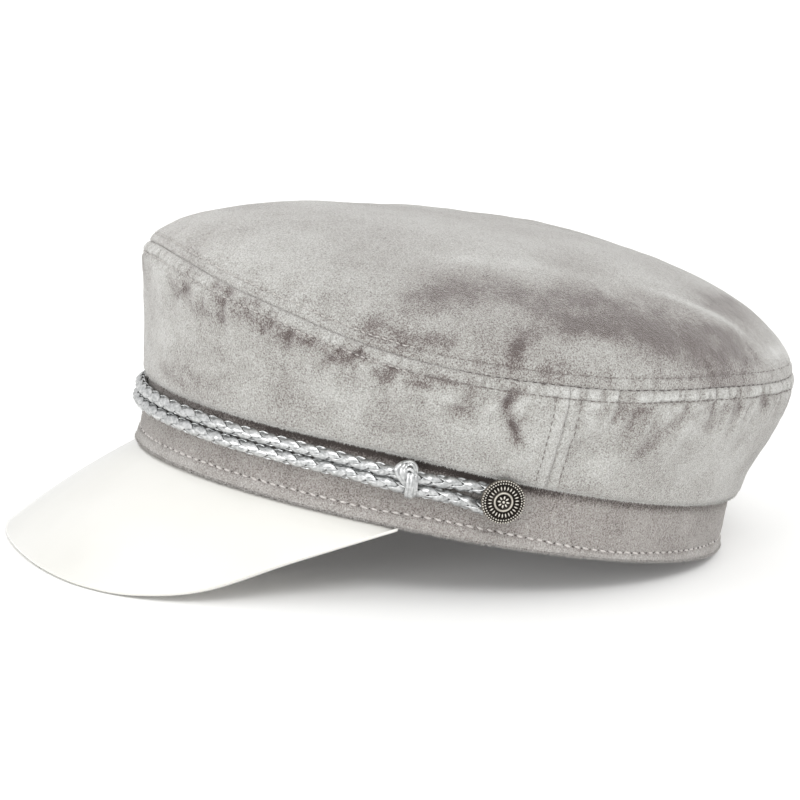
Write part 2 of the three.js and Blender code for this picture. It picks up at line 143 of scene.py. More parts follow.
def velvet(name, stops, sheen):
    material, shader = new_material(name, {
        "Roughness": 0.85, "Specular IOR Level": 0.2, "Sheen Weight": sheen, "Sheen Roughness": 0.42,
        "Sheen Tint": linear("#f3f1ef")})
    spot = add_node(material, "ShaderNodeTexCoord")
    # The attribute holds the crushed nap together with painted shade and painted light.
    nap_and_shade = add_node(material, "ShaderNodeAttribute", {"attribute_name": "nap_and_shade"})

    def noise(size, detail, rough, twist=0.0):
        return add_node(material, "ShaderNodeTexNoise",
                        values={"Scale": 1 / (size * mm), "Detail": detail, "Roughness": rough,
                                "Distortion": twist}, links=[("Vector", spot, "Object")])

    crush, tufts = noise(crush_mm, 3.0, 0.6, 0.5), noise(tuft_mm, 2.0, 0.5, 0.4)
    grain = noise(grain_mm, 2.0, 0.7)
    total = nap_and_shade
    for layer, weight in ((crush, 0.15), (tufts, 0.22), (grain, 1.95)):
        level = add_node(material, "ShaderNodeMath", {"operation": "SUBTRACT"}, {1: 0.5}, [(0, layer, "Fac")])
        total = add_node(material, "ShaderNodeMath", {"operation": "MULTIPLY_ADD"}, {1: weight},
                         [(0, level, "Value"), (2, total, "Fac" if total is nap_and_shade else "Value")])
    colour = ramp(material, total, "Value", stops)
    join(material, colour, "Color", shader, "Base Color")
    soft = add_node(material, "ShaderNodeBump", values={"Strength": 0.6, "Distance": 0.6 * mm},
                    links=[("Height", tufts, "Fac")])
    fine = add_node(material, "ShaderNodeBump", values={"Strength": 1.0, "Distance": 0.8 * mm},
                    links=[("Height", grain, "Fac"), ("Normal", soft, "Normal")])
    join(material, fine, "Normal", shader, "Normal")
    return material


crown_velvet = velvet("crushed_polyester_velvet", [
    (0.0, "#5d5350"), (0.2, "#827a77"), (0.42, "#a6a49f"), (0.6, "#b9b8b4"), (1.0, "#dcdcd9")], 0.95)
band_velvet = velvet("short_pile_polyester_velvet", [
    (0.0, "#4c4542"), (0.2, "#756d69"), (0.45, "#9c9692"), (0.7, "#aeaaa6"), (1.0, "#cdcac7")], 0.5)
print(f"pile grain drawn at {grain_mm} mm")

# %% [markdown]
# ## Cloth backing, thread and patent
# The inside of the shell is the velvet's plain woven back, a tight polyester tabby of fine yarns. It is
# drawn coarser than it is, at about 2 mm a repeat, so that it shows at all. A wave texture repeats
# every twentieth of a full turn over its scale. The seams are sewn in spun polyester thread.

# %% Backing and thread materials
weave_mm = 1.9635


def woven_backing():
    material, shader = new_material("woven_polyester_backing", {"Roughness": 0.9, "Specular IOR Level": 0.2})
    spot = add_node(material, "ShaderNodeTexCoord")
    wave = {"Scale": math.tau / 20 / (weave_mm * mm), "Distortion": 0.6, "Detail": 1.0}
    warp, weft = [add_node(material, "ShaderNodeTexWave", {"wave_type": "BANDS", "bands_direction": way},
                           wave, [("Vector", spot, "Object")]) for way in ("X", "Z")]
    tabby = add_node(material, "ShaderNodeMath", {"operation": "MULTIPLY"},
                     links=[(0, warp, "Fac"), (1, weft, "Fac")])
    colour = ramp(material, tabby, "Value", [(0.0, "#77716f"), (1.0, "#9b9592")])
    join(material, colour, "Color", shader, "Base Color")
    bump = add_node(material, "ShaderNodeBump", values={"Strength": 0.4, "Distance": 0.2 * mm},
                    links=[("Height", tabby, "Value")])
    join(material, bump, "Normal", shader, "Normal")
    return material


def spun_thread(name, dark, light):
    material, shader = new_material(name, {"Roughness": 0.6, "Sheen Weight": 0.3})
    spot = add_node(material, "ShaderNodeTexCoord")
    fibre = add_node(material, "ShaderNodeTexNoise", values={"Scale": 1 / (0.4 * mm), "Detail": 2.0},
                     links=[("Vector", spot, "Object")])
    colour = ramp(material, fibre, "Fac", [(0.3, dark), (0.7, light)])
    join(material, colour, "Color", shader, "Base Color")
    bump = add_node(material, "ShaderNodeBump", values={"Strength": 0.5, "Distance": 0.1 * mm},
                    links=[("Height", fibre, "Fac")])
    join(material, bump, "Normal", shader, "Normal")
    return material


backing = woven_backing()
crown_thread = spun_thread("spun_polyester_thread_grey", "#a39e9a", "#d6d3cf")
# The same grey thread painted darker, a painted shade where the stitches sink into the pile.
painted_shade_thread = spun_thread("spun_polyester_thread_painted_shade", "#5c5652", "#8a8480")
# A near-black copy of the thread, painted shade where stitches dive and pull.
painted_deep_shade_thread = spun_thread("spun_polyester_thread_in_shadow", "#3f3936", "#5b5350")
band_thread = spun_thread("spun_polyester_thread_pale", "#b5afab", "#dbd7d4")
print("backing and threads")

# %% [markdown]
# ## The cap's own frame
# The cap is easiest to think of standing level on its band: the hem's plane is z = 0, the wearer looks
# along -Y, and an angle goes round from the middle of the front, 0 degrees, to the rear, 180. In the
# photograph it stands tilted on the peak and the rear of the hem, so one function tilts and lifts every
# point from the cap's frame, in millimetres, to the world's, in metres.

# %% From the cap's frame to the world
band_half_length, band_half_width, band_egg, band_height, band_wall = 102.0, 87.5, 0.08, 27.0, 2.8
hem_press, peak_drop, peak_reach = 0.6, 39.8, 35.0
rest_tilt = math.atan2(peak_drop + hem_press, 2 * band_half_length + peak_reach)
stand_y, stand_z = 9.541, 16.409
gap = 0.3


def standing(points):
    """Tilts points of the cap's frame onto the table, and turns millimetres into metres."""
    x, y, z = points[..., 0], points[..., 1], points[..., 2]
    forward = y * math.cos(rest_tilt) + z * math.sin(rest_tilt) + stand_y
    upward = z * math.cos(rest_tilt) - y * math.sin(rest_tilt) + stand_z
    return np.stack([x, forward, upward], axis=-1) * mm


def unit(vectors):
    return vectors / np.maximum(np.linalg.norm(vectors, axis=-1, keepdims=True), 1e-9)


def band_point(angle, out, height):
    """A point on an oval that stands out from the band's by out."""
    turn = np.radians(angle)
    wide = (band_half_width + out) * (1 - band_egg * np.cos(turn))
    deep = -(band_half_length + out) * np.cos(turn)
    return np.stack(np.broadcast_arrays(wide * np.sin(turn), deep, height + 0 * turn), axis=-1)


def outward(angle):
    along = band_point(angle + 0.5, 0, 0) - band_point(angle - 0.5, 0, 0)
    return unit(np.stack([along[..., 1], -along[..., 0], 0 * along[..., 0]], axis=-1))


def rest_plane(y):
    """The height of the table's surface in the cap's frame."""
    return hem_press - (band_half_length - y) * math.tan(rest_tilt)


def wrapped(angle):
    """An angle from -180 to 180."""
    return (angle + 180) % 360 - 180


print(f"the cap stands tilted by {math.degrees(rest_tilt):.2f} degrees")

# %% [markdown]
# ## Reading tables smoothly, and soft noise
# The crown's form comes from short tables of heights and bulges. They are read with a smooth curve
# through the rows, so no row shows as a crease. The noise is a grid of fixed random numbers read
# smoothly, which is fast over a hundred thousand points and is the same in every run.

# %% Table and noise helpers
def smooth_read(knots, values, at):
    """Values at knots, read at other places with a smooth cubic curve."""
    knots, values = np.asarray(knots, float), np.asarray(values, float)
    slopes = np.gradient(values, knots)
    low = np.clip(np.searchsorted(knots, at, side="right") - 1, 0, len(knots) - 2)
    wide = knots[low + 1] - knots[low]
    t = np.clip((at - knots[low]) / wide, 0, 1)
    return (values[low] * (1 + 2 * t) * (1 - t) ** 2 + slopes[low] * wide * t * (1 - t) ** 2
            + values[low + 1] * t * t * (3 - 2 * t) - slopes[low + 1] * wide * t * t * (1 - t))


def read_round(values, angle):
    """A column with a row every so often from front to rear, read at any angle, mirrored at its ends."""
    step = 180 / (len(values) - 1)
    knots = np.arange(-1, len(values) + 1) * step
    mirrored = [values[1], *values, values[-2]]
    return smooth_read(knots, mirrored, np.abs(wrapped(angle)))


noise_long, noise_tall = 512, 256
noise_grid = np.random.default_rng(7).random((noise_long, noise_tall))


def soft_noise(x, y, seed=0, repeat=noise_long):
    """Smooth noise from -1 to 1, whose bumps are about one unit wide. It repeats along x."""
    x, y = x + 37.3 * seed, y + 71.9 * seed
    low_x, low_y = np.floor(x).astype(int), np.floor(y).astype(int)
    a, b = x - low_x, y - low_y
    a, b = a * a * (3 - 2 * a), b * b * (3 - 2 * b)
    pick = lambda i, j: noise_grid[(low_x + i) % repeat, (low_y + j) % noise_tall]
    mixed = lambda j: pick(0, j) * (1 - a) + pick(1, j) * a
    return 2 * (mixed(0) * (1 - b) + mixed(1) * b) - 1


print("noise", round(float(soft_noise(np.array([0.5]), np.array([0.5]))[0]), 3))

# %% [markdown]
# ## The crown's form
# A seam runs round the crown where its domed top meets its side. The side hangs from it to a soft lip
# that rolls over the band, and stands out in a slack belly between them. Its height changes from front
# to rear. Dents and folds pull it in, each one given by where it is and how it leans.

# %% Seam, side and dome as functions
seam_out_front, seam_out_rear, seam_out_side, seam_egg, seam_height = 7.8, 12.8, 11.7, 0.02, 60.0
lip_out, lip_height, crown_bulge, crown_wall = 3.3, 21.0, 3.3, 1.8
side_seam_angle, side_seam_lean = 87.6, 3.0
dome_rise, dome_lean, dome_ahead, dome_fullness, dome_shoulder = 32.6, 0.12, 4.0, 2.4, 0.62
seam_half_length = band_half_length + (seam_out_front + seam_out_rear) / 2
seam_shift = (seam_out_rear - seam_out_front) / 2
seam_heights = [1.115, 1.035, 0.922, 0.941, 1.027, 1.047, 1.033]
lip_heights = [1.07, 1.067, 1.11, 1.0, 0.93, 0.938, 0.938]
side_ups = [0, 0.03, 0.09, 0.2, 0.33, 0.47, 0.61, 0.74, 0.85, 0.94, 1]
side_bulges = {
    "front": [-0.7, -0.36, -0.28, -0.22, -0.15, 0, 0.22, 0.5, 0.66, 0.46, 0],
    "side": [-0.5, -0.14, 0, 0.12, 0.36, 0.58, 0.7, 0.73, 0.64, 0.36, 0],
    "rear": [-0.5, -0.14, -0.05, 0, 0.36, 0.9, 1, 0.85, 0.66, 0.36, 0],
}
fold_depth, fold_fade = 2.4, 6
pucker_depth, pucker_pitch, pucker_drift = 0.7, 12.0, 19.5
# Folds: angle at half height, lean from lip to seam, half width in degrees, middle and half length up
# the side, and depth as a share of fold_depth, below zero for a ridge.
folds = [
    (78, -9, 3.6, 0.72, 0.42, 1.0), (71, -7, 5.0, 0.55, 0.4, -0.4), (95, 9, 4.2, 0.45, 0.45, 0.6),
    (104, 7, 5.0, 0.5, 0.45, -0.35), (121, 5, 7.0, 0.35, 0.4, 0.5), (150, -4, 8.0, 0.4, 0.4, 0.45),
    (38, 6, 8.0, 0.4, 0.45, 0.3), (-30, -5, 8.0, 0.45, 0.4, 0.3), (-76, 7, 4.4, 0.65, 0.4, 0.7),
    (-98, -8, 5.0, 0.45, 0.45, 0.6), (-128, -4, 7.0, 0.4, 0.4, 0.5), (-158, 5, 8.0, 0.45, 0.4, 0.4),
]


def fold_pull(angle, up):
    pull = 0 * up
    for at, lean_by, width, middle, reach, depth in folds:
        across = (wrapped(angle - at) - lean_by * (up - 0.5)) / width
        along = (up - middle) / reach
        pull = pull + depth * fold_depth * np.exp(-across ** 2 - 2 * along ** 2)
    return pull * (1 - up ** fold_fade)


def smooth_step(value, low, high):
    t = np.clip((value - low) / (high - low), 0, 1)
    return t * t * (3 - 2 * t)


def pucker_push(angle, up):
    rearward = smooth_step(np.abs(wrapped(angle)), 80, 110)
    turns = angle * 2 * math.pi
    ripple = np.sin(turns / pucker_pitch) + np.sin(turns / pucker_drift) / 2
    return pucker_depth * rearward * ripple * up * up * (1 - up ** 8)


def seam_turn(angle, up):
    return angle - side_seam_lean * (up - 0.5) * np.sin(np.radians(angle))


def lip_level(angle):
    """The height of the crown's lip."""
    return lip_height * read_round(lip_heights, angle)


def side_tall(angle):
    """How far the seam stands above the lip."""
    return seam_height * read_round(seam_heights, angle) - lip_level(angle)


def seam_point(angle, share):
    """A point on the top seam, or a share of the way in from it, before the dome's rise."""
    turn = np.radians(angle)
    wide = (band_half_width + seam_out_side) * (1 - seam_egg * np.cos(turn))
    height = seam_height * read_round(seam_heights, angle)
    level = seam_height * (1 - share * share) + height * share * share
    shift = seam_shift - dome_ahead * (1 - share)
    return np.stack([share * wide * np.sin(turn), shift - share * seam_half_length * np.cos(turn), level],
                    axis=-1)


def side_form(angle, up):
    """The plain side of the crown, with its main dents, before the fine gathers."""
    leaned = seam_turn(angle, up)
    lip = band_point(leaned, lip_out, lip_level(leaned))
    point = lip + (seam_point(leaned, 1.0 + 0 * up) - lip) * up[..., None]
    endwise = np.cos(np.radians(leaned)) ** 2
    rows = {name: smooth_read(side_ups, column, up) for name, column in side_bulges.items()}
    end = np.where(np.abs(wrapped(leaned)) < 90, rows["front"], rows["rear"])
    bulge = crown_bulge * (rows["side"] * (1 - endwise) + end * endwise)
    return point, bulge - fold_pull(leaned, up) + pucker_push(leaned, up), outward(leaned)


def dome_form(angle, share):
    """The domed top."""
    point = seam_point(angle, share)
    puff = np.maximum(1 - share ** dome_fullness, 0) ** dome_shoulder
    point[..., 2] += dome_rise * puff * (1 - dome_lean * share * np.cos(np.radians(angle)))
    return point


seam_ring = seam_point(np.arange(0.0, 361.0), np.ones(361))
seam_mm = float(np.linalg.norm(np.diff(seam_ring, axis=0), axis=1).sum())
seam_per_degree = seam_mm / 360


def ring_noise(angle, pitch, y, seed):
    """Soft noise that runs round the cap and meets itself, with bumps about pitch mm long."""
    cells = round(seam_mm / pitch)
    return soft_noise(angle / 360 * cells, y, seed, cells)


print(f"the top seam is {seam_mm:.0f} mm round")

# %% [markdown]
# ## Gathers, stitched channels and crumples
# The side is cut longer than the seam it is sewn to, so it gathers into small pleats about 3 mm apart.
# The row of topstitching 4 mm below pins them down, and below that they open into soft folds. Each row
# of stitches also sinks a narrow channel into the pile. These are heights added to the plain form, as a
# function of the distance from the seam, down the slope of the cloth, and the way along it. Sculpting by
# hand would give the same, but it couldn't be run again.

# %% Fine relief of the side
stitch_row, cloth_slope = 4.0, 1.05
seam_tuck, seam_tuck_width = 0.5, 0.4
side_seam_tuck, side_seam_tuck_width, side_seam_ridge, ridge_shoulder = 0.6, 0.35, 0.35, 0.8
channel_depth, channel_width = 0.4, 0.5
# Sharp creases: angle, lean, half width in degrees, middle and half length up the side, depth in mm.
creases = [
    (77.2, -1, 0.8, 0.80, 0.11, 1.5), (80.0, -13.8, 0.9, 0.53, 0.17, 1.5), (44.2, 10, 0.9, 0.77, 0.12, 0.9),
    (47.2, 10, 0.8, 0.90, 0.10, 0.8), (55.5, 5, 1.0, 0.78, 0.10, 0.7), (62, 6, 0.9, 0.88, 0.12, 0.6),
    (3.5, 30, 1.4, 0.80, 0.09, 0.7), (23, 3, 1.3, 0.74, 0.08, 0.6), (37, 6, 0.9, 0.85, 0.10, 0.6),
    (40.5, 8, 0.8, 0.90, 0.10, 0.6), (31, 10, 1.0, 0.84, 0.10, 0.5), (69, 2, 1.1, 0.62, 0.10, 0.5),
    (91.5, 0, 0.9, 0.82, 0.08, 0.6), (95.3, 2, 0.9, 0.84, 0.10, 0.7), (98.8, -1, 1.1, 0.70, 0.16, 0.6),
    (103.5, 14, 1.8, 0.62, 0.24, 1.1), (117.5, -3, 1.1, 0.74, 0.14, 0.8), (112.5, 3, 1.0, 0.84, 0.10, 0.7),
    (121, 0, 1.0, 0.84, 0.10, 0.7), (127, -3, 1.3, 0.60, 0.14, 0.5), (131.5, 0, 1.1, 0.85, 0.10, 0.7),
    (140, 2, 1.3, 0.78, 0.14, 0.6), (149, -2, 1.2, 0.80, 0.14, 0.6), (158, 3, 1.4, 0.74, 0.16, 0.5),
    (168, -3, 1.2, 0.80, 0.14, 0.6), (177, 2, 1.3, 0.78, 0.14, 0.5), (-172, 3, 1.2, 0.80, 0.14, 0.6),
    (-163, -2, 1.4, 0.76, 0.16, 0.5), (-152, 3, 1.2, 0.82, 0.12, 0.6), (-140, 2, 1.3, 0.76, 0.16, 0.6),
    (-128, -3, 1.1, 0.82, 0.12, 0.7), (-117, 4, 1.2, 0.72, 0.16, 0.7), (-108, -10, 1.8, 0.60, 0.24, 0.7),
    (-97, 2, 1.0, 0.82, 0.10, 0.6), (-74, 9, 1.0, 0.74, 0.16, 1.0), (-61, -8, 1.0, 0.82, 0.12, 0.7),
    (-46, -9, 1.0, 0.84, 0.12, 0.6), (-30, -6, 1.1, 0.80, 0.12, 0.6), (-14, -12, 1.3, 0.80, 0.10, 0.6),
]


def channel(away):
    """A stitched channel, as a depth at a distance from its row."""
    return channel_depth * np.exp(-(away / channel_width) ** 2)


def side_detail(angle, up):
    """Heights of the side's fine relief, in mm."""
    leaned = seam_turn(angle, up)
    below = (1 - up) * side_tall(leaned) * cloth_slope
    along = leaned * seam_per_degree
    gathered = 0.45 + 0.55 * smooth_step(np.abs(wrapped(leaned)), 78, 96)
    strip = np.clip(np.sin(np.pi * np.clip(below / stitch_row, 0, 1)), 0, 1) ** 0.7
    opening = smooth_step(below, stitch_row, stitch_row + 1.6) * np.exp(-(below - stitch_row) / 6.5)
    pleats = soft_noise(along / 1.5, below / 9, 1)
    wider = soft_noise(along / 2.6, below / 12, 2)
    puffed = 0.35 + 0.65 * gathered
    puffs = smooth_step(np.abs(soft_noise(along / 3.2, below / 16, 9)), 0, 0.32)
    height = puffed * strip * (1.1 * puffs - 0.5 + 0.5 * pleats)
    height = height + gathered * opening * (1.2 * wider + 0.6 * pleats)
    curls = 0.45 - np.abs(soft_noise(along / 3.4 + 0.5 * wider, below / 4.2, 10))
    height = height + 0.75 * curls * smooth_step(below, 1, 5) * np.exp(-(below / 15) ** 2)
    crumple = 0.32 * soft_noise(along / 12, below / 9, 3) + 0.16 * soft_noise(along / 4, below / 3.6, 4)
    height = height + crumple * smooth_step(below, 0, 6) * smooth_step(up, 0.05, 0.25)
    for at, lean_by, width, middle, reach, depth in creases:
        across = (wrapped(leaned - at) - lean_by * (up - 0.5)) / width
        height = height - depth * np.exp(-across ** 2 - ((up - middle) / reach) ** 2)
    height = height - channel(below - stitch_row) - seam_tuck * np.exp(-below / seam_tuck_width)
    away = np.abs(np.abs(wrapped(angle)) - side_seam_angle) * seam_per_degree
    ridge = side_seam_ridge * smooth_step(stitch_row + ridge_shoulder - away, 0, ridge_shoulder)
    return height + ridge - channel(away - stitch_row) - side_seam_tuck * np.exp(-away / side_seam_tuck_width)


def side_surface(angle, up):
    """The finished outer face of the crown's side, in the cap's frame."""
    point, moved, away = side_form(angle, up)
    return point + away * (moved + side_detail(angle, up))[..., None]


print("side relief ready")

# %% [markdown]
# ## Nap patches and painted shade
# Where hands have pressed the pile it lies in patches, dark and mauve where it stands, pale where it is
# flattened. Other patches are painted shade and painted light: dark in the hollows of the gathers and
# creases and in dents, pale on the ridges beside them. Along the front seam the dark patches are both.
# Each patch is an oval on the panel, with its centre, half sizes, turn and strength, below zero for
# darker cloth.

# %% Patches of the pile and painted shade
# The nap of plain cloth, the painted light of pile that stands out at an edge, and the painted shading
# of the relief: how much paler a mm of raised cloth is painted, and darker a mm of sunk cloth.
plain_nap, edge_painted_light, relief_painted_shading = 0.5, 0.85, 0.30
# Side patches: angle, share up the side, half width in degrees, half height as a share, strength.
# Besides crushed pile, the narrow dark patches at creases and dents are painted shade, and the pale ones beside
# them painted highlights.
side_patches = [
    (11.5, 0.81, 4, 0.07, -0.34), (19.8, 0.74, 5, 0.08, -0.34), (28, 0.85, 7, 0.07, -0.30),
    (36, 0.80, 5, 0.07, -0.22), (41.8, 0.84, 2.2, 0.05, -0.36), (48.4, 0.81, 3.6, 0.06, -0.42),
    (51.2, 0.90, 2.2, 0.04, -0.42), (57.2, 0.80, 2.6, 0.07, -0.36), (66.2, 0.88, 1.6, 0.05, -0.30),
    (63, 0.78, 2.5, 0.05, -0.24), (13, 0.95, 4, 0.04, -0.24), (25, 0.96, 6, 0.03, -0.30),
    (33, 0.95, 5, 0.03, -0.26), (8.2, 0.16, 5, 0.06, -0.28), (14, 0.10, 6, 0.05, -0.24),
    (60, 0.30, 12, 0.15, -0.08), (77.5, 0.90, 1.5, 0.05, -0.30), (70, 0.62, 3, 0.08, -0.10),
    (92.7, 0.80, 1.6, 0.05, -0.36), (100, 0.84, 2, 0.05, -0.30), (111, 0.80, 3.5, 0.06, -0.38),
    (116, 0.68, 1.5, 0.06, -0.28), (121, 0.85, 2.5, 0.05, -0.32), (104, 0.45, 2.5, 0.10, -0.20),
    (131, 0.86, 6, 0.05, -0.28), (30, 0.55, 9, 0.12, 0.02), (40, 0.22, 12, 0.14, -0.05),
    (66, 0.72, 4, 0.10, 0.10), (75, 0.62, 1.6, 0.16, 0.24), (79.5, 0.78, 1.5, 0.12, 0.18),
    (84, 0.60, 2, 0.20, 0.10), (110, 0.50, 4, 0.20, 0.12), (97, 0.35, 4, 0.15, 0.10),
    (128, 0.35, 7, 0.20, 0.14), (105, 0.93, 6, 0.03, 0.22), (2, 0.50, 6, 0.30, 0.12),
    (-14, 0.80, 5, 0.07, -0.34), (-31, 0.82, 6, 0.07, -0.32), (-46, 0.82, 3.5, 0.07, -0.44),
    (-57, 0.82, 3.5, 0.07, -0.46), (-68, 0.86, 2.4, 0.06, -0.34), (-20, 0.15, 8, 0.07, -0.24),
    (-40, 0.45, 12, 0.15, 0.10), (-98, 0.80, 4, 0.07, -0.32), (-108, 0.50, 4, 0.12, -0.20),
    (-118, 0.82, 5, 0.07, -0.34), (-135, 0.40, 9, 0.20, 0.14), (-150, 0.82, 7, 0.07, -0.30),
    (-165, 0.45, 10, 0.20, 0.12), (150, 0.82, 7, 0.07, -0.30), (160, 0.40, 10, 0.20, 0.12),
    (174, 0.80, 7, 0.08, -0.30), (79.3, 0.56, 1.1, 0.10, -0.24), (80.6, 0.43, 1.3, 0.07, -0.24),
    (77.3, 0.78, 1.0, 0.08, -0.20), (95.8, 0.72, 1.6, 0.09, -0.26), (101.5, 0.72, 2, 0.12, -0.22),
    (108, 0.66, 1.6, 0.16, -0.14), (19, 0.20, 6, 0.05, -0.24), (9, 0.30, 4, 0.06, -0.14),
]
# Dome patches: x and y in the cap's frame, half sizes, turn in degrees, strength.
# Besides crushed pile, the narrow pale streaks are painted highlights and some dark bands are painted shade.
dome_patches = [
    (68, -42, 18, 8, 108, -0.30), (72, -18, 13, 7, 88, -0.20), (72, 12, 20, 7, 95, -0.36),
    (84, 10, 18, 5.5, 88, -0.36), (77, 50, 26, 5.5, 111, -0.46), (83, 56, 13, 5.0, 115, -0.44),
    (45, 72, 24, 6, 129, -0.36), (90, -20.5, 5, 2.6, 129, -0.46), (75, -64, 4, 1.6, 60, -0.18),
    (84, -48, 8, 2.0, 74, -0.22), (80, -57, 3, 1.4, 60, -0.24), (84, 22, 50, 12, 95, -0.20),
    (70, -30, 30, 10, 100, -0.08), (22, -70, 10, 5, 60, -0.08),
    (64, 56, 18, 1.8, 80, 0.42), (58, 68, 14, 7, 130, -0.26), (4, 108, 16, 6, 0, -0.24),
    (60, 86, 9, 2.0, -42, 0.45), (45, 98, 7, 2.0, -32, 0.45),
    (91, 8, 16, 3, 92, 0.16), (76, -22, 8, 6, 90, 0.12), (52, -20, 30, 4, 80, 0.14),
    (-40, 20, 28, 14, 40, -0.22), (-72, -30, 22, 8, 70, -0.28), (-84, 20, 18, 7, 90, -0.34),
    (-30, 76, 24, 8, 20, -0.24), (-62, 66, 14, 6, 40, -0.24), (-20, -60, 24, 10, 20, 0.08),
    (-60, 0, 20, 5, 80, 0.14), (-8, 96, 14, 6, 0, -0.22),
]


def side_nap_and_shade(angle, up):
    leaned = seam_turn(angle, up)
    across = leaned * seam_per_degree
    nap_and_shade = plain_nap + 0.07 * soft_noise(leaned / 7, up * 5, 11)
    breakup = 0.85 + 0.5 * soft_noise(across / 4.5, up * 9, 12) + 0.4 * soft_noise(across / 1.8, up * 20, 15)
    for at, middle, wide, tall, strength in side_patches:
        far = (wrapped(leaned - at) / wide) ** 2 + ((up - middle) / tall) ** 2
        nap_and_shade = nap_and_shade + strength * np.exp(-far) * breakup
    return nap_and_shade


def dome_nap_and_shade(x, y):
    nap_and_shade = plain_nap + 0.07 * soft_noise(x / 16, y / 16, 13)
    breakup = 1.1 + 0.45 * soft_noise(x / 5, y / 5, 14) + 0.35 * soft_noise(x / 2.0, y / 2.0, 16)
    for at_x, at_y, long, short, turn, strength in dome_patches:
        c, s = math.cos(math.radians(turn)), math.sin(math.radians(turn))
        a = ((x - at_x) * c + (y - at_y) * s) / long
        b = ((y - at_y) * c - (x - at_x) * s) / short
        nap_and_shade = nap_and_shade + strength * np.exp(-a * a - b * b) * breakup
    return nap_and_shade


print(len(side_patches) + len(dome_patches), "patches")

# %% [markdown]
# ## Wrapping a grid onto a form
# Each panel starts as Blender's grid primitive. Its columns run round the cap and its rows across the
# wall: up the outer face, over the top and back down the inner face, so the panel is a closed wall of
# real thickness. Every vertex is moved to its place at once, the wall's ends are merged or filled, and
# the normals are made to point outwards.

# %% The panel maker
def clear_selection():
    bpy.ops.object.select_all(action="DESELECT")


def wrap_panel(name, columns, sections, nap_and_shade, materials, inner_from, closed=True):
    """sections is an array of columns by rows of points in the cap's frame. Rows close on themselves."""
    rows = sections.shape[1] - 1
    clear_selection()
    bpy.ops.mesh.primitive_grid_add(x_subdivisions=columns, y_subdivisions=rows, size=2)
    panel = bpy.context.object
    panel.name = panel.data.name = name
    mesh = panel.data
    flat = np.empty(len(mesh.vertices) * 3)
    mesh.vertices.foreach_get("co", flat)
    flat = flat.reshape(-1, 3)
    column = np.rint((flat[:, 0] + 1) / 2 * columns).astype(int)
    row = np.rint((flat[:, 1] + 1) / 2 * rows).astype(int)
    mesh.vertices.foreach_set("co", standing(sections[column, row]).ravel())
    mesh.attributes.new("nap_and_shade", "FLOAT", "POINT").data.foreach_set("value", nap_and_shade[column, row])
    for material in materials:
        mesh.materials.append(material)
    face_row = np.arange(len(mesh.polygons)) // columns
    mesh.polygons.foreach_set("material_index", (face_row >= inner_from).astype(np.int32))
    bpy.ops.object.mode_set(mode="EDIT")
    bpy.ops.mesh.select_all(action="SELECT")
    bpy.ops.mesh.remove_doubles(threshold=0.004 * mm)
    if not closed:
        bpy.ops.mesh.fill_holes(sides=0)
    bpy.ops.mesh.normals_make_consistent(inside=False)
    bpy.ops.object.mode_set(mode="OBJECT")
    bpy.ops.object.shade_smooth()
    bpy.ops.object.transform_apply(location=True, rotation=True, scale=True)
    print(f"{name}: {len(mesh.polygons)} faces")
    return panel


def dress(piece, slot, *nodes):
    """Lets a piece ride on the cap and stand for CAD nodes, whose parts it hides; the slot is not used."""
    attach(piece, "root")
    if nodes:
        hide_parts(*nodes)
    return piece


print("panel maker ready")

# %% [markdown]
# ## The crown's side
# Two panels meet at the side seams. Each wall runs up the outer face from the rolled lip to the top
# seam and back down inside to the turned allowance that sits on the band.

# %% Front and rear side panels
outer_ups = np.concatenate([np.linspace(0, 0.06, 9)[:-1], np.linspace(0.06, 0.80, 52)[:-1],
                            np.linspace(0.80, 1.0, 30)])
inner_ups = np.array([1.0, 0.97, 0.92, 0.85, 0.75, 0.65, 0.55, 0.45, 0.36, 0.3])
seat_height, allowance_height = band_height + gap, 2.8
seam_parting, lip_fold, inner_drop = 0.02, 0.35, 0.55


def side_panel(name, from_angle, to_angle, columns, node):
    parting = math.degrees(seam_parting / band_half_width)
    angles = np.linspace(from_angle + parting, to_angle - parting, columns + 1)
    angle, up = np.meshgrid(angles, outer_ups, indexing="ij")
    outer = side_surface(angle, up)
    outer[:, -1, 2] -= seam_parting
    low = seam_turn(angles, 0.0 * angles)
    wall = lambda out, height: band_point(low, out, height)[:, None, :]
    bottom = outer[:, 0, 2]
    turned = [wall(-band_wall, seat_height + allowance_height), wall(-band_wall, seat_height),
              wall(gap, seat_height + 0 * low), wall(gap, (seat_height + bottom) / 2),
              wall(gap, bottom + lip_fold)]
    angle_in, up_in = np.meshgrid(angles, inner_ups, indexing="ij")
    point, moved, away = side_form(angle_in, up_in)
    lowered = np.array([0, 0, 1]) * (inner_drop * (up_in == 1))[..., None]
    inner = point + away * (moved - crown_wall)[..., None] - lowered
    section = np.concatenate([outer, inner, *turned, outer[:, :1]], axis=1)
    nap_and_shade = np.full(section.shape[:2], plain_nap)
    # The relief is painted into the colour: raised cloth paler, hollows darker, a painted shade.
    nap_and_shade[:, :len(outer_ups)] = side_nap_and_shade(angle, up) + relief_painted_shading * side_detail(angle, up)
    nap_and_shade[:, -1] = nap_and_shade[:, 0]
    panel = wrap_panel(name, columns, section, nap_and_shade, [crown_velvet, backing], len(outer_ups), closed=False)
    return dress(panel, "crown_velvet", node)


side_panel("crown_front_panel", -side_seam_angle, side_seam_angle, 420, "crown_side_front")
side_panel("crown_rear_panel", side_seam_angle, 360 - side_seam_angle, 450, "crown_side_rear")

# %% [markdown]
# ## The domed top
# The top panel's edge is turned in at the seam and topstitched 4 mm above it. Its rows lie close near
# the seam, where the stitches pucker it, and wide in the middle, where it is only slack.

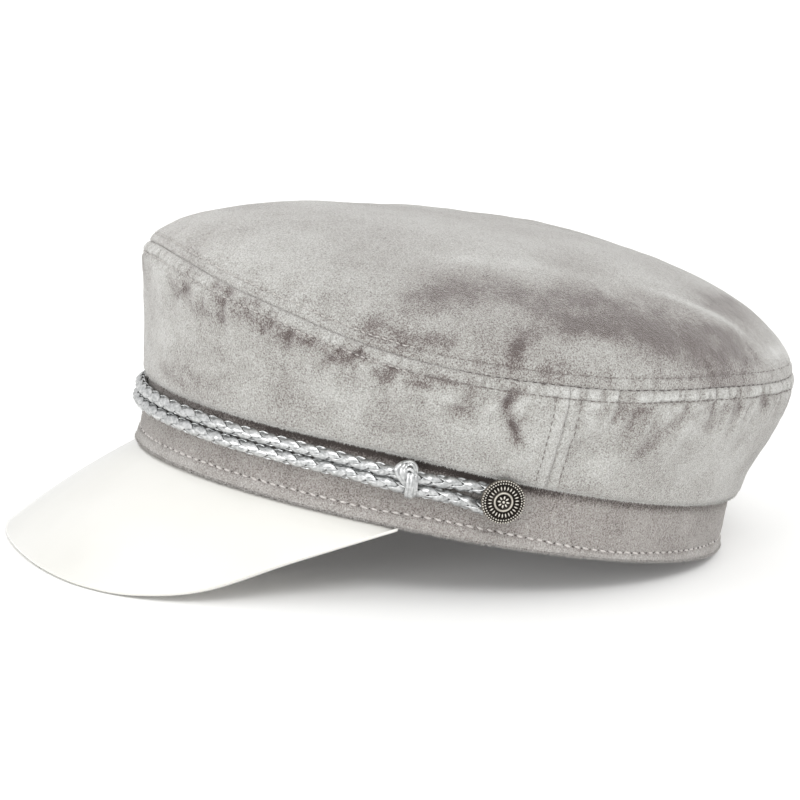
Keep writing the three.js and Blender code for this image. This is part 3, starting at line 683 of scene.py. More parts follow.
# %% The top panel
def dome_detail(angle, share, inward_mm):
    flat_x, flat_y = share * np.sin(np.radians(angle)), share * np.cos(np.radians(angle))
    height = 0.35 * soft_noise(flat_x * 5, flat_y * 5, 5) + 0.14 * soft_noise(flat_x * 18, flat_y * 18, 8)
    height = height * smooth_step(inward_mm, 0, 12)
    puckered = np.exp(-((inward_mm - stitch_row) / 4.5) ** 2)
    height = height + 0.35 * puckered * ring_noise(angle, 2.0, inward_mm / 5, 6)
    near = smooth_step(inward_mm, 0, 5) * np.exp(-(inward_mm / 16) ** 2)
    height = height + 0.25 * ring_noise(angle, 5, inward_mm / 5, 7) * near
    return height - channel(inward_mm - stitch_row) - seam_tuck * np.exp(-inward_mm / seam_tuck_width)


def walked_along(path):
    """How far along a path each of its points is."""
    return np.concatenate([[0], np.cumsum(np.linalg.norm(np.diff(path, axis=0), axis=1))])


# How far in from the seam each share is, along the cloth at the side of the cap.
fine_shares = 1 - np.linspace(0, 1, 4001) ** 2
fine_distance = walked_along(dome_form(np.full(len(fine_shares), 90.0), fine_shares))
dome_rows = np.concatenate([np.arange(0, 2, 0.25), np.arange(2, 14, 0.6), np.arange(14, fine_distance[-1], 2.2),
                            [fine_distance[-1]]])
dome_shares = np.interp(dome_rows, fine_distance, fine_shares)
dome_shares[-1] = 0.0
pole_share = 0.02


def dome_surface(angle, share, inward_mm):
    """The finished outer face of the top, with its direction straight out."""
    point = dome_form(angle, share)
    ring_share = np.maximum(share, pole_share)
    round_step = dome_form(angle + 0.2, ring_share) - dome_form(angle - 0.2, ring_share)
    nearer, farther = np.clip(share - 0.002, 0.001, 1), np.clip(share + 0.002, 0, 1)
    away = unit(np.cross(round_step, dome_form(angle, nearer) - dome_form(angle, farther)))
    away[share < pole_share] = (0, 0, 1)
    return point + away * dome_detail(angle, share, inward_mm)[..., None], away


dome_columns = 600
angles = np.linspace(0, 360, dome_columns + 1)
angle, share = np.meshgrid(angles, dome_shares, indexing="ij")
inward_mm = np.broadcast_to(dome_rows, share.shape)
outer, away = dome_surface(angle, share, inward_mm)
outer[:, 0, 2] += seam_parting
outer[:, -1] = outer[0, -1]
last_row = len(dome_rows) - 1
picked = np.unique(np.concatenate([[0, 3, 8], np.arange(14, last_row + 1, 5), [last_row]]))[::-1]
inner = dome_form(angle[:, picked], share[:, picked]) - away[:, picked] * crown_wall
inner[:, 0] = inner[0, 0]
section = np.concatenate([outer, inner, outer[:, :1]], axis=1)
nap_and_shade = np.full(section.shape[:2], plain_nap)
# The relief is painted into the colour: raised cloth paler, hollows darker, a painted shade.
nap_and_shade[:, :len(dome_rows)] = (dome_nap_and_shade(outer[..., 0], outer[..., 1])
                           + relief_painted_shading * dome_detail(angle, share, inward_mm))
nap_and_shade[:, -1] = nap_and_shade[:, 0]
crown_top_panel = wrap_panel("crown_top_panel", dome_columns, section, nap_and_shade, [crown_velvet, backing],
                             len(dome_rows))
dress(crown_top_panel, "crown_velvet", "crown_top")

# %% [markdown]
# ## The head band
# The band is a stiffened strip of darker velvet. Its lower edge is rolled over a cord-like hem, which
# stays puffy below a row of long stitches. The stitching runs a little higher at the front. Shade is
# painted into the band's colour under the crown's lip, the more so beside the strap, as far back as
# the buttons, and the rolled hem is painted pale, a painted light.

# %% The band
hem_round = 0.9
lip_shade, lip_shade_below = 0.80, 2.6
stitch_angles = [0, 50, 61, 66, 70, 75, 79, 84, 89, 94, 99, 105, 111, 117, 125, 136, 180]
stitch_heights = [4.5, 4.5, 4.5, 5.0, 5.2, 5.2, 5.0, 4.6, 4.2, 3.6, 3.1, 2.8, 2.8, 3.0, 3.3, 3.9, 4.2]


def band_stitch_height(angle):
    return smooth_read(stitch_angles, stitch_heights, np.abs(wrapped(angle)))


def band_surface(angle, height):
    """A point of the band's face, with the puff of its hem, its slack and the pinch of its stitches."""
    below = band_stitch_height(angle) - height
    puff = 0.45 * smooth_step(below, 0, 1.4) - 0.42 * np.exp(-(below / 0.55) ** 2)
    slack = 0.10 * ring_noise(angle, 6, height / 6, 21) + 0.08 * ring_noise(angle, 1.6, height / 2, 22)
    pinch = 0.12 * ring_noise(angle, 1.7, height / 9, 23) * np.exp(-(below / 2.4) ** 2)
    return band_point(angle, puff + slack + pinch, height)


band_columns = 640
angles = np.linspace(0, 360, band_columns + 1)
heights = np.concatenate([np.linspace(hem_round, 7.5, 19), np.linspace(8.4, band_height, 16)])
angle, height = np.meshgrid(angles, heights, indexing="ij")
outer = band_surface(angle, height)
hem_turns = np.radians(np.linspace(-90, 90, 9)[1:-1])
mid = (outer[:, 0] + band_point(angles, -band_wall, hem_round)) / 2
half = np.linalg.norm(outer[:, 0] - mid, axis=-1)
hem = [mid - outward(angles) * (half * math.sin(t))[:, None] - np.array([0, 0, hem_round * math.cos(t)])
       for t in hem_turns]
inner_angle, inner_height = np.meshgrid(angles, [band_height, 18.0, 9.0, hem_round], indexing="ij")
inner = band_point(inner_angle, -band_wall, inner_height)
section = np.concatenate([outer, inner, np.stack(hem[::-1], axis=1), outer[:, :1]], axis=1)
section[..., 2] = np.maximum(section[..., 2], rest_plane(section[..., 1]))
nap_and_shade = np.full(section.shape[:2], plain_nap)
hem_lit = 0.16 * smooth_step(band_stitch_height(angle) - height, 0.3, 1.5)
nap_and_shade[:, :len(heights)] = plain_nap + 0.08 * ring_noise(angle, 9, height / 9, 24) + hem_lit
# The band is painted darker just under the crown's lip, a painted shade, deepest beside the strap.
under_lip = height - lip_level(angle) + lip_shade_below
around = np.abs(wrapped(angle))
strapped = 0.45 + 0.55 * smooth_step(around, 20, 48) - 0.6 * smooth_step(around, 84, 92)
nap_and_shade[:, :len(heights)] -= lip_shade * strapped * smooth_step(under_lip, -1.2, 1.6)
# The rolled hem is painted pale, a painted light where its underside is in shade.
nap_and_shade[:, len(heights) + inner.shape[1]:] = edge_painted_light
band = wrap_panel("head_band", band_columns, section, nap_and_shade, [band_velvet, backing],
                  len(heights) + len(hem_turns))
dress(band, "band_velvet", "band")

# %% [markdown]
# ## White patent leather
# Patent is leather, or a woven base, under a thick clear-looking coat of glossy polyurethane. What the
# eye sees is a milky white with a sharp second reflection on top, and very slight waves from the hand
# that moulded it. The cut edge shows the white coat's thickness and is a little duller.

# %% The patent material
def patent(name, colour_stops, roughness, coat):
    material, shader = new_material(name, {"Roughness": roughness, "Specular IOR Level": 0.5,
                                           "Coat Weight": coat, "Coat Roughness": 0.04})
    spot = add_node(material, "ShaderNodeTexCoord")
    cloud = add_node(material, "ShaderNodeTexNoise", values={"Scale": 1 / (40 * mm), "Detail": 2.0},
                     links=[("Vector", spot, "Object")])
    orange_peel = add_node(material, "ShaderNodeTexNoise", values={"Scale": 1 / (2.2 * mm), "Detail": 1.0},
                           links=[("Vector", spot, "Object")])
    colour = ramp(material, cloud, "Fac", colour_stops)
    join(material, colour, "Color", shader, "Base Color")
    bump = add_node(material, "ShaderNodeBump", values={"Strength": 0.08, "Distance": 0.1 * mm},
                    links=[("Height", orange_peel, "Fac")])
    join(material, bump, "Normal", shader, "Normal")
    return material


patent_leather = patent("white_patent_leather", [(0.3, "#dfded8"), (0.7, "#e6e5e0")], 0.22, 1.0)
leather_back = patent("white_split_leather", [(0.3, "#dddad3"), (0.7, "#e8e5df")], 0.6, 0.0)
print("patent coat roughness 0.04")

# %% [markdown]
# ## The peak
# The peak is a flat sheet of patent, cut to a crescent and bent round the band, so every line from the
# band to its edge is nearly straight. Those lines are laid from the seat under the hem to the outer
# edge, bowed up slightly, and the edge is rounded over as a painted cut edge is.

# %% The peak's sheet
peak_half_width, peak_span, peak_wall, peak_thinning = 77.3, 65.0, 2.0, 0.35
peak_bow, peak_tuck, peak_seat, edge_round = 1.3, 0.7, 2.1, 0.5
peak_fans = [1.63, 1.62, 1.552, 1.451, 1.302, 1.129, 1.0]
peak_aheads = [1.0, 0.983, 0.924, 0.799, 0.597, 0.329, 0.0]
peak_lifts = [0.0, 0.0, 0.0, 0.016, 0.115, 0.45, 0.96]


def peak_edge(share):
    """The lower outer edge of the peak, from its right corner at -1 to its left at 1."""
    knots = np.arange(-6, 7) / 6
    corner_y = float(band_point(np.array(peak_span), 0, 0)[1])
    tip_y = -(band_half_length + peak_reach)
    rows = [(abs(i), i) for i in range(-6, 7)]
    y = np.array([corner_y + (tip_y - corner_y) * peak_aheads[k] for k, _ in rows])
    x = np.array([i / 6 * peak_fans[k] * peak_half_width for k, i in rows])
    z = rest_plane(y) * (1 - np.array([peak_lifts[k] for k, _ in rows]))
    edge = np.stack([smooth_read(knots, column, share) for column in (x, y, z)], axis=-1)
    edge[..., 2] = np.maximum(edge[..., 2], rest_plane(edge[..., 1]))
    return edge


peak_columns = 220
share = np.linspace(-1, 1, peak_columns + 1)
under = peak_edge(share)
angles = peak_span * share
seat_under = band_point(angles, -peak_tuck - peak_seat, -gap)
seat_top = band_point(angles, -peak_tuck, -gap)
along = band_point(angles + 1, 0, 0) - band_point(angles - 1, 0, 0)
up = -unit(np.cross(along, under - seat_under))
cornerward = share ** 4
thick = (peak_wall * (1 - peak_thinning * cornerward))[:, None]
fars = np.linspace(0, 1, 41)
bow = 4 * peak_bow * fars[None, :] * (1 - fars[None, :]) * (1 - cornerward[:, None])
edge_out = unit(under - seat_under)
edge_turns = np.radians([25, 55, 90, 125, 155])
top_reach = under + up * thick - edge_out * edge_round - seat_top
under_reach = under - edge_out * edge_round - seat_under
top_line = seat_top[:, None] + top_reach[:, None] * fars[None, :, None]
top_line = top_line + up[:, None] * bow[..., None]
under_line = seat_under[:, None] + under_reach[:, None] * fars[None, ::-1, None]
under_line = under_line + up[:, None] * bow[:, ::-1, None]
rounded = [under + up * thick * (0.5 + 0.5 * math.cos(t)) - edge_out * edge_round * (1 - math.sin(t))
           for t in edge_turns]
section = np.concatenate([top_line, np.stack(rounded, axis=1), under_line, top_line[:, :1]], axis=1)
section[..., 2] = np.maximum(section[..., 2], rest_plane(section[..., 1]))
peak = wrap_panel("patent_peak", peak_columns, section, np.zeros(section.shape[:2]),
                  [patent_leather, leather_back], len(fars) + len(edge_turns), closed=False)
dress(peak, "patent_leather", "peak")

# %% [markdown]
# ## Stitches
# One stitch is modelled and copied: a short length of thread that dives into the cloth at both ends.
# It is a small sphere stretched along its row and bent down at its ends. Each row walks along its path
# at the real pitch, and every stitch is laid in its channel with a little difference from the next.

# %% Sew rows of stitches
clear_selection()
bpy.ops.mesh.primitive_uv_sphere_add(segments=6, ring_count=6, radius=0.5)
pattern = bpy.context.object
bpy.ops.object.mode_set(mode="EDIT")
bpy.ops.mesh.select_all(action="SELECT")
bpy.ops.transform.rotate(value=math.pi / 2, orient_axis="Y", center_override=(0, 0, 0))
bpy.ops.object.mode_set(mode="OBJECT")
stitch_shape = np.array([v.co[:] for v in pattern.data.vertices])
stitch_faces = [list(p.vertices) for p in pattern.data.polygons]
bpy.data.objects.remove(pattern)
stitch_dive, stitch_wander = 0.9, 0.09
stitch_shape[:, 2] -= stitch_dive * stitch_shape[:, 0] ** 2


def mesh_piece(name, points, faces, materials, smooth=True):
    mesh = bpy.data.meshes.new(name)
    mesh.from_pydata(np.asarray(points).tolist(), [], faces)
    for material in materials:
        mesh.materials.append(material)
    piece = bpy.data.objects.new(name, mesh)
    bpy.context.scene.collection.objects.link(piece)
    if smooth:
        mesh.shade_smooth()
    return piece


def read_along(rows, walked, at):
    """Points or directions given along a path, read at distances along it."""
    return np.stack([np.interp(at, walked, rows[:, i]) for i in range(3)], axis=-1)


def sew(name, path, away, pitch, length, width, thread, slot, sink, turn=0.0, seed=1, shift=0.5):
    """Lays stitches along a path of points in the cap's frame, with the way out of the cloth at each."""
    walked = walked_along(path)
    count = int(walked[-1] / pitch)
    at = (np.arange(count) + shift) * walked[-1] / count
    chance = np.random.default_rng(seed)
    middle = read_along(path, walked, at) + chance.normal(0, stitch_wander, (count, 3)) * [1, 1, 0.7]
    out = unit(read_along(away, walked, at))
    ahead = unit(read_along(path, walked, at + 0.4) - read_along(path, walked, at - 0.4))
    across = unit(np.cross(out, ahead))
    angle = np.radians(turn + chance.normal(0, 4, count))[:, None]
    ahead = ahead * np.cos(angle) + across * np.sin(angle)
    across = unit(np.cross(out, ahead))
    size = length * (1 + chance.normal(0, 0.06, count))[:, None, None]
    long, wide, tall = (stitch_shape[None, :, i:i + 1] for i in range(3))
    points = (middle[:, None] + ahead[:, None] * long * size + across[:, None] * wide * width
              + out[:, None] * (tall * width - sink))
    faces = [[i + k * len(stitch_shape) for i in face] for k in range(count) for face in stitch_faces]
    piece = mesh_piece(name, standing(points.reshape(-1, 3)), faces, [thread])
    print(f"{name}: {count} stitches of {walked[-1] / count:.2f} mm")
    return dress(piece, slot)


def side_away(angle, up):
    """The way straight out of the side at a place."""
    round_step = side_form_point(angle + 0.3, up) - side_form_point(angle - 0.3, up)
    rise = side_form_point(angle, up + 0.01) - side_form_point(angle, up - 0.01)
    return unit(np.cross(round_step, rise))


def side_form_point(angle, up):
    point, moved, away = side_form(angle, np.clip(up, 0, 1))
    return point + away * moved[..., None]


def side_row(at_angle):
    """Where the side's upper row of stitches lies, as a share of the height."""
    return 1 - stitch_row / (side_tall(at_angle) * cloth_slope)


steps_per_degree = 4
round_angles = np.linspace(0, 360, 360 * steps_per_degree + 1)
row_up = side_row(round_angles)
row_angles = round_angles.copy()
for _ in range(3):
    row_angles = round_angles + side_seam_lean * (row_up - 0.5) * np.sin(np.radians(row_angles))
row_share = float(np.interp(stitch_row, dome_rows, dome_shares))
one_column = np.ones((len(round_angles), 1))
dome_path, dome_away = dome_surface(round_angles[:, None], row_share * one_column, stitch_row * one_column)
dome_path, dome_away = dome_path[:, 0], dome_away[:, 0]
side_path, side_path_away = side_surface(row_angles, row_up), side_away(row_angles, row_up)
# The thread lies proud over the front, and is pulled under from the temples back, where its dashes are
# painted dark, a painted shade.
for part, from_angle, to_angle, thread, side_sink, top_sink in (
        ("front", -60, 60, crown_thread, -0.26, -0.26), ("rear", 60, 300, painted_shade_thread, -0.10, 0.0)):
    take = np.arange(from_angle * steps_per_degree, to_angle * steps_per_degree + 1) % (len(round_angles) - 1)
    sew(f"side_topstitch_{part}", side_path[take], side_path_away[take], 2.3, 1.6, 0.5, thread,
        "crown_velvet", side_sink, seed=2)
    sew(f"top_topstitch_{part}", dome_path[take], dome_away[take], 2.3, 1.6, 0.5, thread,
        "crown_velvet", top_sink, seed=3)
# The side seam rows are sewn in the darker thread, a painted shade.
for side_name, sign in (("left", 1), ("right", -1)):
    for row_name, offset in (("front", -stitch_row), ("rear", stitch_row)):
        ups = np.linspace(0.05, 0.90, 120)
        at = np.full(len(ups), sign * (side_seam_angle + offset / seam_per_degree))
        sew(f"seam_topstitch_{side_name}_{row_name}", side_surface(at, ups), side_away(at, ups), 2.5, 1.8, 0.42,
            painted_shade_thread, "crown_velvet", -0.10, seed=4)
band_path, band_away = band_surface(round_angles, band_stitch_height(round_angles)), outward(round_angles)
sew("band_topstitch", band_path, band_away, 3.4, 2.4, 0.85, band_thread, "band_velvet", -0.05,
    turn=-8, seed=5)
# Short dark stitches between the pale ones are painted shade where the thread dives into its holes.
sew("band_needle_hole_shade", band_path, band_away, 3.4, 0.9, 0.7, painted_deep_shade_thread, "band_velvet", 0.02,
    turn=30, seed=6, shift=1.0)
# Dark dashes along the rear of the top seam: pulled stitches, with their shade painted in.
pulled = np.linspace(70, 290, 900)
top = np.ones(len(pulled))
sew("seam_pulls_and_shade", side_surface(pulled, top), side_away(pulled, 0.97 * top), 3.0, 1.9, 0.55,
    painted_deep_shade_thread, "crown_velvet", -0.12, seed=7)

# %% [markdown]
# ## Pile that stands past the edges
# At the hem and under the crown's lip the pile is seen from the side, as a soft fringe less than a
# millimetre long. Strands are scattered along both edges, each a thin spike with its own lean.

# %% Scatter the edge pile
strand_foot, strand_spread = 0.11, 0.35
foot_turns = (0.0, 2.1, 4.2)
strand_faces = ((0, 2, 1), (0, 1, 3), (1, 2, 3), (2, 0, 3))


def edge_pile(name, path, down_share, per_mm, long, material, slot, seed):
    """Scatters spikes along a path over round_angles, leaning out and down by a share."""
    walked = walked_along(path)
    chance = np.random.default_rng(seed)
    at = chance.random(int(walked[-1] * per_mm)) * walked[-1]
    root, out = read_along(path, walked, at), unit(read_along(outward(round_angles), walked, at))
    lean = out * (1 - down_share) - np.array([0, 0, down_share])
    lean = lean + chance.normal(0, strand_spread, root.shape)
    tip = root + unit(lean) * long * (0.6 + 0.6 * chance.random((len(at), 1)))
    across = unit(np.cross(lean, chance.normal(0, 1, root.shape)))
    over = unit(np.cross(lean, across))
    feet = [root + strand_foot * (across * math.cos(t) + over * math.sin(t)) for t in foot_turns]
    points = np.stack(feet + [tip], axis=1).reshape(-1, 3)
    points[:, 2] = np.maximum(points[:, 2], rest_plane(points[:, 1]))
    faces = [[4 * k + i for i in face] for k in range(len(at)) for face in strand_faces]
    piece = mesh_piece(name, standing(points), faces, [material], smooth=False)
    # The strands are painted pale, a painted light at the edges.
    nap_and_shade = np.full(len(points), edge_painted_light)
    piece.data.attributes.new("nap_and_shade", "FLOAT", "POINT").data.foreach_set("value", nap_and_shade)
    print(f"{name}: {len(at)} strands")
    return dress(piece, slot)


# Rows on the hem: number, height, how far out, how far down its strands lean, and seed.
for row, low, out_by, down, seed in ((1, 0.9, 0.35, 0.55, 31), (2, 0.45, 0.15, 0.85, 32)):
    hem_path = band_point(round_angles, out_by, low)
    hem_path[:, 2] = np.maximum(hem_path[:, 2], rest_plane(hem_path[:, 1]) + 0.05)
    edge_pile(f"hem_pile_{row}", hem_path, down, 10, 1.0, band_velvet, "band_velvet", seed)
lip_path = side_surface(round_angles, np.full(len(round_angles), 0.012))
edge_pile("lip_pile", lip_path, 0.8, 9, 0.9, crown_velvet, "crown_velvet", 41)

# %% [markdown]
# ## Silver foil braid
# The strap is a round braid of four flat laces, each a strip of imitation leather with a silver foil
# skin. Foil is a metal film that follows the lace, so it shows bright flats and fine cross creases.

# %% The foil material
def foil():
    material, shader = new_material("silver_foil_leatherette", {"Roughness": 0.3}, metallic=0.85)
    spot = add_node(material, "ShaderNodeTexCoord")
    creases_at = add_node(material, "ShaderNodeTexNoise", values={"Scale": 1 / (1.1 * mm), "Detail": 3.0},
                          links=[("Vector", spot, "Object")])
    colour = ramp(material, creases_at, "Fac", [(0.3, "#a6a8a8"), (0.55, "#cccdcd"), (0.8, "#efefee")])
    join(material, colour, "Color", shader, "Base Color")
    rough = add_node(material, "ShaderNodeMapRange", values={"To Min": 0.22, "To Max": 0.42},
                     links=[("Value", creases_at, "Fac")])
    join(material, rough, "Result", shader, "Roughness")
    bump = add_node(material, "ShaderNodeBump", values={"Strength": 0.35, "Distance": 0.15 * mm},
                    links=[("Height", creases_at, "Fac")])
    join(material, bump, "Normal", shader, "Normal")
    return material


silver_foil = foil()
print("foil roughness 0.22 to 0.42")

# %% [markdown]
# ## The braided cords
# Two laces wind one way round the core and two the other. Where they meet, each goes over and under by
# turns, so its distance from the core's middle swings twice in every lay. The path is worked out from
# that rule and a flat oval is swept along it, with its broad side held against the core. On top a lace
# runs nearly straight, and it turns down steeply at its ends, which draws the long leaves of the braid.

# %% Braid the two runs
cord_diameter, lay, strap_end = 3.6, 13.2, 79.4
strand_width, strand_thick, strand_radius, strand_swing, strand_linger = 2.75, 0.8, 1.28, 0.36, 0.42
route_angles = [0, 15, 30, 44, 56, 61, 65, 69, 74, strap_end]
routes = {
    "upper": [18.3, 18.4, 18.3, 18.5, 18.3, 18.0, 17.8, 17.9, 18.2, 17.9],
    "lower": [14.0, 14.1, 14.0, 14.3, 14.4, 14.2, 14.0, 13.8, 13.3, 11.6],
}
route_offs = [0, 0, 0, 0, 0.3, 1.5, 1.6, 1.5, 0.3, 0]
cord_seat, braid_step = gap + cord_diameter / 2, 0.45


def strap_path(run, angle):
    """The middle line of a run of the strap at an angle."""
    knots = np.array([-a for a in route_angles[:0:-1]] + route_angles, float)
    both = lambda column: np.array(column[:0:-1] + column, float)
    height = smooth_read(knots, both(routes[run]), angle)
    off = smooth_read(knots, both(route_offs), angle)
    return band_point(angle, 0, height) + outward(angle) * (cord_seat + off)[..., None]


def even_path(points, step):
    """The same path in even steps, with the way to each point and its whole length."""
    walked = walked_along(points)
    at = np.arange(0, walked[-1], step)
    return read_along(points, walked, at), at, walked[-1]


def ring_faces(rings, sides, capped=True):
    """The faces between rings of points that follow each other, and over both ends."""
    ahead = lambda k: (k + 1) % sides
    faces = [[i * sides + k, i * sides + ahead(k), (i + 1) * sides + ahead(k), (i + 1) * sides + k]
             for i in range(rings - 1) for k in range(sides)]
    if capped:
        faces += [list(range(sides))[::-1], [(rings - 1) * sides + k for k in range(sides)]]
    return faces


def sweep(path, broad, flat, wide, thick, sides=8):
    """Points and faces of a flat oval swept along a path, closed at both ends."""
    turns = np.arange(sides) * 2 * math.pi / sides
    ring = (broad[:, None] * (np.sign(np.cos(turns)) * np.abs(np.cos(turns)) ** 0.6 * wide / 2)[None, :, None]
            + flat[:, None] * (np.sin(turns) * thick / 2)[None, :, None])
    return (path[:, None] + ring).reshape(-1, 3), ring_faces(len(path), sides)


def joined_mesh(name, parts, materials):
    points, faces, start = [], [], 0
    for part_points, part_faces in parts:
        points.append(part_points)
        faces += [[i + start for i in face] for face in part_faces]
        start += len(part_points)
    return mesh_piece(name, standing(np.concatenate(points)), faces, materials)


def outward_faces(piece):
    """Makes every face of a piece's closed parts point outwards."""
    clear_selection()
    piece.select_set(True)
    bpy.context.view_layer.objects.active = piece
    bpy.ops.object.mode_set(mode="EDIT")
    bpy.ops.mesh.select_all(action="SELECT")
    bpy.ops.mesh.normals_make_consistent(inside=False)
    bpy.ops.object.mode_set(mode="OBJECT")
    return piece


def braid(run):
    core, at, length = even_path(strap_path(run, np.linspace(-strap_end, strap_end, 1600)), braid_step)
    ahead = unit(np.gradient(core, axis=0))
    out = unit(np.stack([core[:, 0], core[:, 1] + 4, 0 * at], axis=-1))
    out = unit(out - ahead * np.sum(out * ahead, axis=1, keepdims=True))
    over = np.cross(ahead, out)
    parts = []
    for hand, start in ((1, 0), (1, math.pi), (-1, math.pi / 2), (-1, -math.pi / 2)):
        even = hand * 2 * math.pi * at / lay + start
        over_at = -hand * math.pi / 4
        turn = even - strand_linger * np.sin(2 * (even - over_at))
        radius = strand_radius + strand_swing * np.cos(2 * (even - over_at))
        radial = out * np.cos(turn)[:, None] + over * np.sin(turn)[:, None]
        path = core + radial * radius[:, None]
        direction = unit(np.gradient(path, axis=0))
        broad = unit(np.cross(direction, radial))
        flat = np.cross(broad, direction)
        parts.append(sweep(path, broad, flat, strand_width, strand_thick))
    print(f"{run} run: {length:.0f} mm")
    return outward_faces(joined_mesh(f"braided_cord_{run}", parts, [silver_foil]))


for run in ("upper", "lower"):
    dress(braid(run), "foil_cord", f"strap_cord_{run}")

# %% [markdown]
# ## The knots
# Beside each button a doubled lace is knotted round both cords. Its laces fan over the left of the
# cords, run round in a ring at the top, and come down the middle in a bundle of three that is tucked
# under the lower cord. Each lace is a smooth line through a few points, picked off the photograph.

# %% Wind the knots
knot_angle, knot_height, knot_wall, lace_thick = 65.0, 15.4, 1.2, 0.75
# Laces: how far the broad side is turned from facing out to lying flat, the width, and points given as
# (along the strap, height, how far out) in mm from the knot's middle.
knot_laces = {
    "lobe_outer": (0.0, 1.7, [(0.1, 5.2, -1.5), (-1.3, 6.6, 0.8), (-2.8, 6.2, 2.4), (-4.0, 4.7, 3.2),
                              (-3.5, 3.2, 3.3), (-2.2, 1.7, 3.2), (-0.5, 0.3, 2.9), (1.2, -0.9, 2.2)]),
    "lobe_middle": (0.0, 1.7, [(-0.0, 6.0, 0.6), (-1.4, 6.6, 2.4), (-2.3, 5.5, 3.5), (-2.4, 4.0, 3.8),
                               (-1.6, 2.5, 3.7), (-0.3, 1.1, 3.2), (1.0, 0.1, 2.6)]),
    "lobe_inner": (0.0, 1.4, [(0.2, 6.2, 1.6), (-0.8, 6.4, 3.0), (-1.4, 5.3, 3.9), (-1.2, 3.8, 4.0),
                              (-0.4, 2.5, 3.5), (0.5, 1.7, 3.0)]),
    "ring_outer": (0.8, 1.6, [(-2.7, 6.2, 1.6), (-1.8, 7.1, 2.5), (-0.5, 7.5, 2.8), (0.9, 7.3, 2.8),
                              (2.0, 6.3, 2.8), (2.4, 4.9, 2.8), (2.3, 3.5, 2.5)]),
    "ring_inner": (0.4, 1.4, [(-1.2, 5.3, 3.2), (-0.9, 6.5, 3.7), (-0.1, 7.0, 3.7), (0.9, 6.6, 3.7),
                              (1.6, 5.6, 3.6), (2.0, 4.4, 3.3)]),
    "hook": (0.15, 1.2, [(-1.0, 3.7, 3.4), (-1.0, 4.7, 4.3), (-0.3, 5.4, 4.6), (0.7, 5.3, 4.6),
                         (1.8, 4.5, 4.4), (2.7, 3.5, 3.9)]),
    "bundle_left": (0.0, 1.6, [(-0.2, 4.9, 2.8), (-0.0, 3.9, 4.2), (0.3, 1.9, 4.6), (0.5, -0.1, 4.5),
                               (0.6, -2.1, 3.9), (0.7, -3.7, 2.4), (0.9, -4.1, 0.2), (1.0, -3.5, -1.8)]),
    "bundle_middle": (0.0, 1.7, [(0.6, 5.0, 3.0), (1.0, 3.9, 4.6), (1.5, 2.1, 5.0), (1.6, -0.1, 4.9),
                                 (1.8, -2.3, 4.1), (2.0, -3.8, 2.5), (2.0, -4.1, 0.2), (1.9, -3.3, -1.8)]),
    "bundle_right": (0.0, 1.6, [(1.5, 4.6, 2.8), (2.1, 3.7, 4.1), (2.5, 2.1, 4.5), (2.8, 0.1, 4.4),
                                (2.9, -1.9, 3.8), (3.0, -3.2, 2.4), (3.0, -3.6, 0.2), (2.8, -3.1, -1.8)]),
}


def wind_knot(sign, name):
    angle = np.array(sign * knot_angle)
    away = outward(angle)
    ahead = np.cross([0, 0, 1.0], away) * sign
    middle = band_point(angle, 0, knot_height) + away * (gap + knot_wall + cord_seat)
    place = lambda p: middle + p[:, :1] * ahead + p[:, 1:2] * np.array([0, 0, 1.0]) + p[:, 2:] * away
    parts = []
    for flatness, wide, rows in knot_laces.values():
        rows = np.array(rows)
        at = np.linspace(0, len(rows) - 1, 9 * len(rows))
        local = np.stack([smooth_read(np.arange(len(rows)), rows[:, i], at) for i in range(3)], axis=-1)
        path = place(local)
        direction = unit(np.gradient(path, axis=0))
        facing = unit(path - place(local * [0.7, 0.6, 0] + [0, 0, -1.5]))
        spread = unit(path - place(local * [0, 0, 1] + [0.4, 3.6, 0]))
        flat = unit(facing * (1 - flatness) + spread * flatness)
        broad = unit(np.cross(direction, flat))
        parts.append(sweep(path, broad, np.cross(broad, direction), wide, lace_thick))
    return outward_faces(joined_mesh(name, parts, [silver_foil]))


for name, sign in (("left", 1), ("right", -1)):
    dress(wind_knot(sign, f"wound_knot_{name}"), "foil_cord", f"knot_{name}")

# %% [markdown]
# ## Antiqued pewter
# The buttons are cast in a grey tin alloy, blackened in the hollows and rubbed bright on the high
# places, so the relief reads clearly. The darkening follows how deep a place is, kept as an attribute.

# %% The pewter material
def pewter():
    material, shader = new_material("antiqued_pewter", {"Roughness": 0.42}, metallic=1.0)
    spot = add_node(material, "ShaderNodeTexCoord")
    high = add_node(material, "ShaderNodeAttribute", {"attribute_name": "high"})
    grit = add_node(material, "ShaderNodeTexNoise", values={"Scale": 1 / (0.5 * mm), "Detail": 3.0},
                    links=[("Vector", spot, "Object")])
    worn = add_node(material, "ShaderNodeMath", {"operation": "MULTIPLY_ADD"}, {1: 0.3},
                    [(0, grit, "Fac"), (2, high, "Fac")])
    colour = ramp(material, worn, "Value", [(0.2, "#2b2825"), (0.45, "#767067"), (0.75, "#c0bbb1"),
                                            (1.0, "#dfdbd3")])
    join(material, colour, "Color", shader, "Base Color")
    bump = add_node(material, "ShaderNodeBump", values={"Strength": 0.3, "Distance": 0.08 * mm},
                    links=[("Height", grit, "Fac")])
    join(material, bump, "Normal", shader, "Normal")
    return material


antiqued_pewter = pewter()
print("pewter ready")

# %% [markdown]
# ## The buttons
# A button is a struck disc on a shank. The disc is spun from its profile. Rows of small beads cover the
# outer third as knurling does, and short plain bars and a rosette of petals fill the middle.

# %% Spin a button and set its beads
button_angle, button_height, button_diameter = 81.6, 15.7, 14.2
button_seat, button_thick, relief_height = 2 * gap + cord_diameter, 2.6, 0.75
disc_sides, lump_sides = 72, 8
# A lump's rings: share of its size, share of its height, and how high it counts for the wear. A tip ends it.
lump_rings, tip_high = [(1.0, 0.0, 0.1), (0.85, 0.55, 0.55), (0.5, 0.9, 0.85)], 0.95
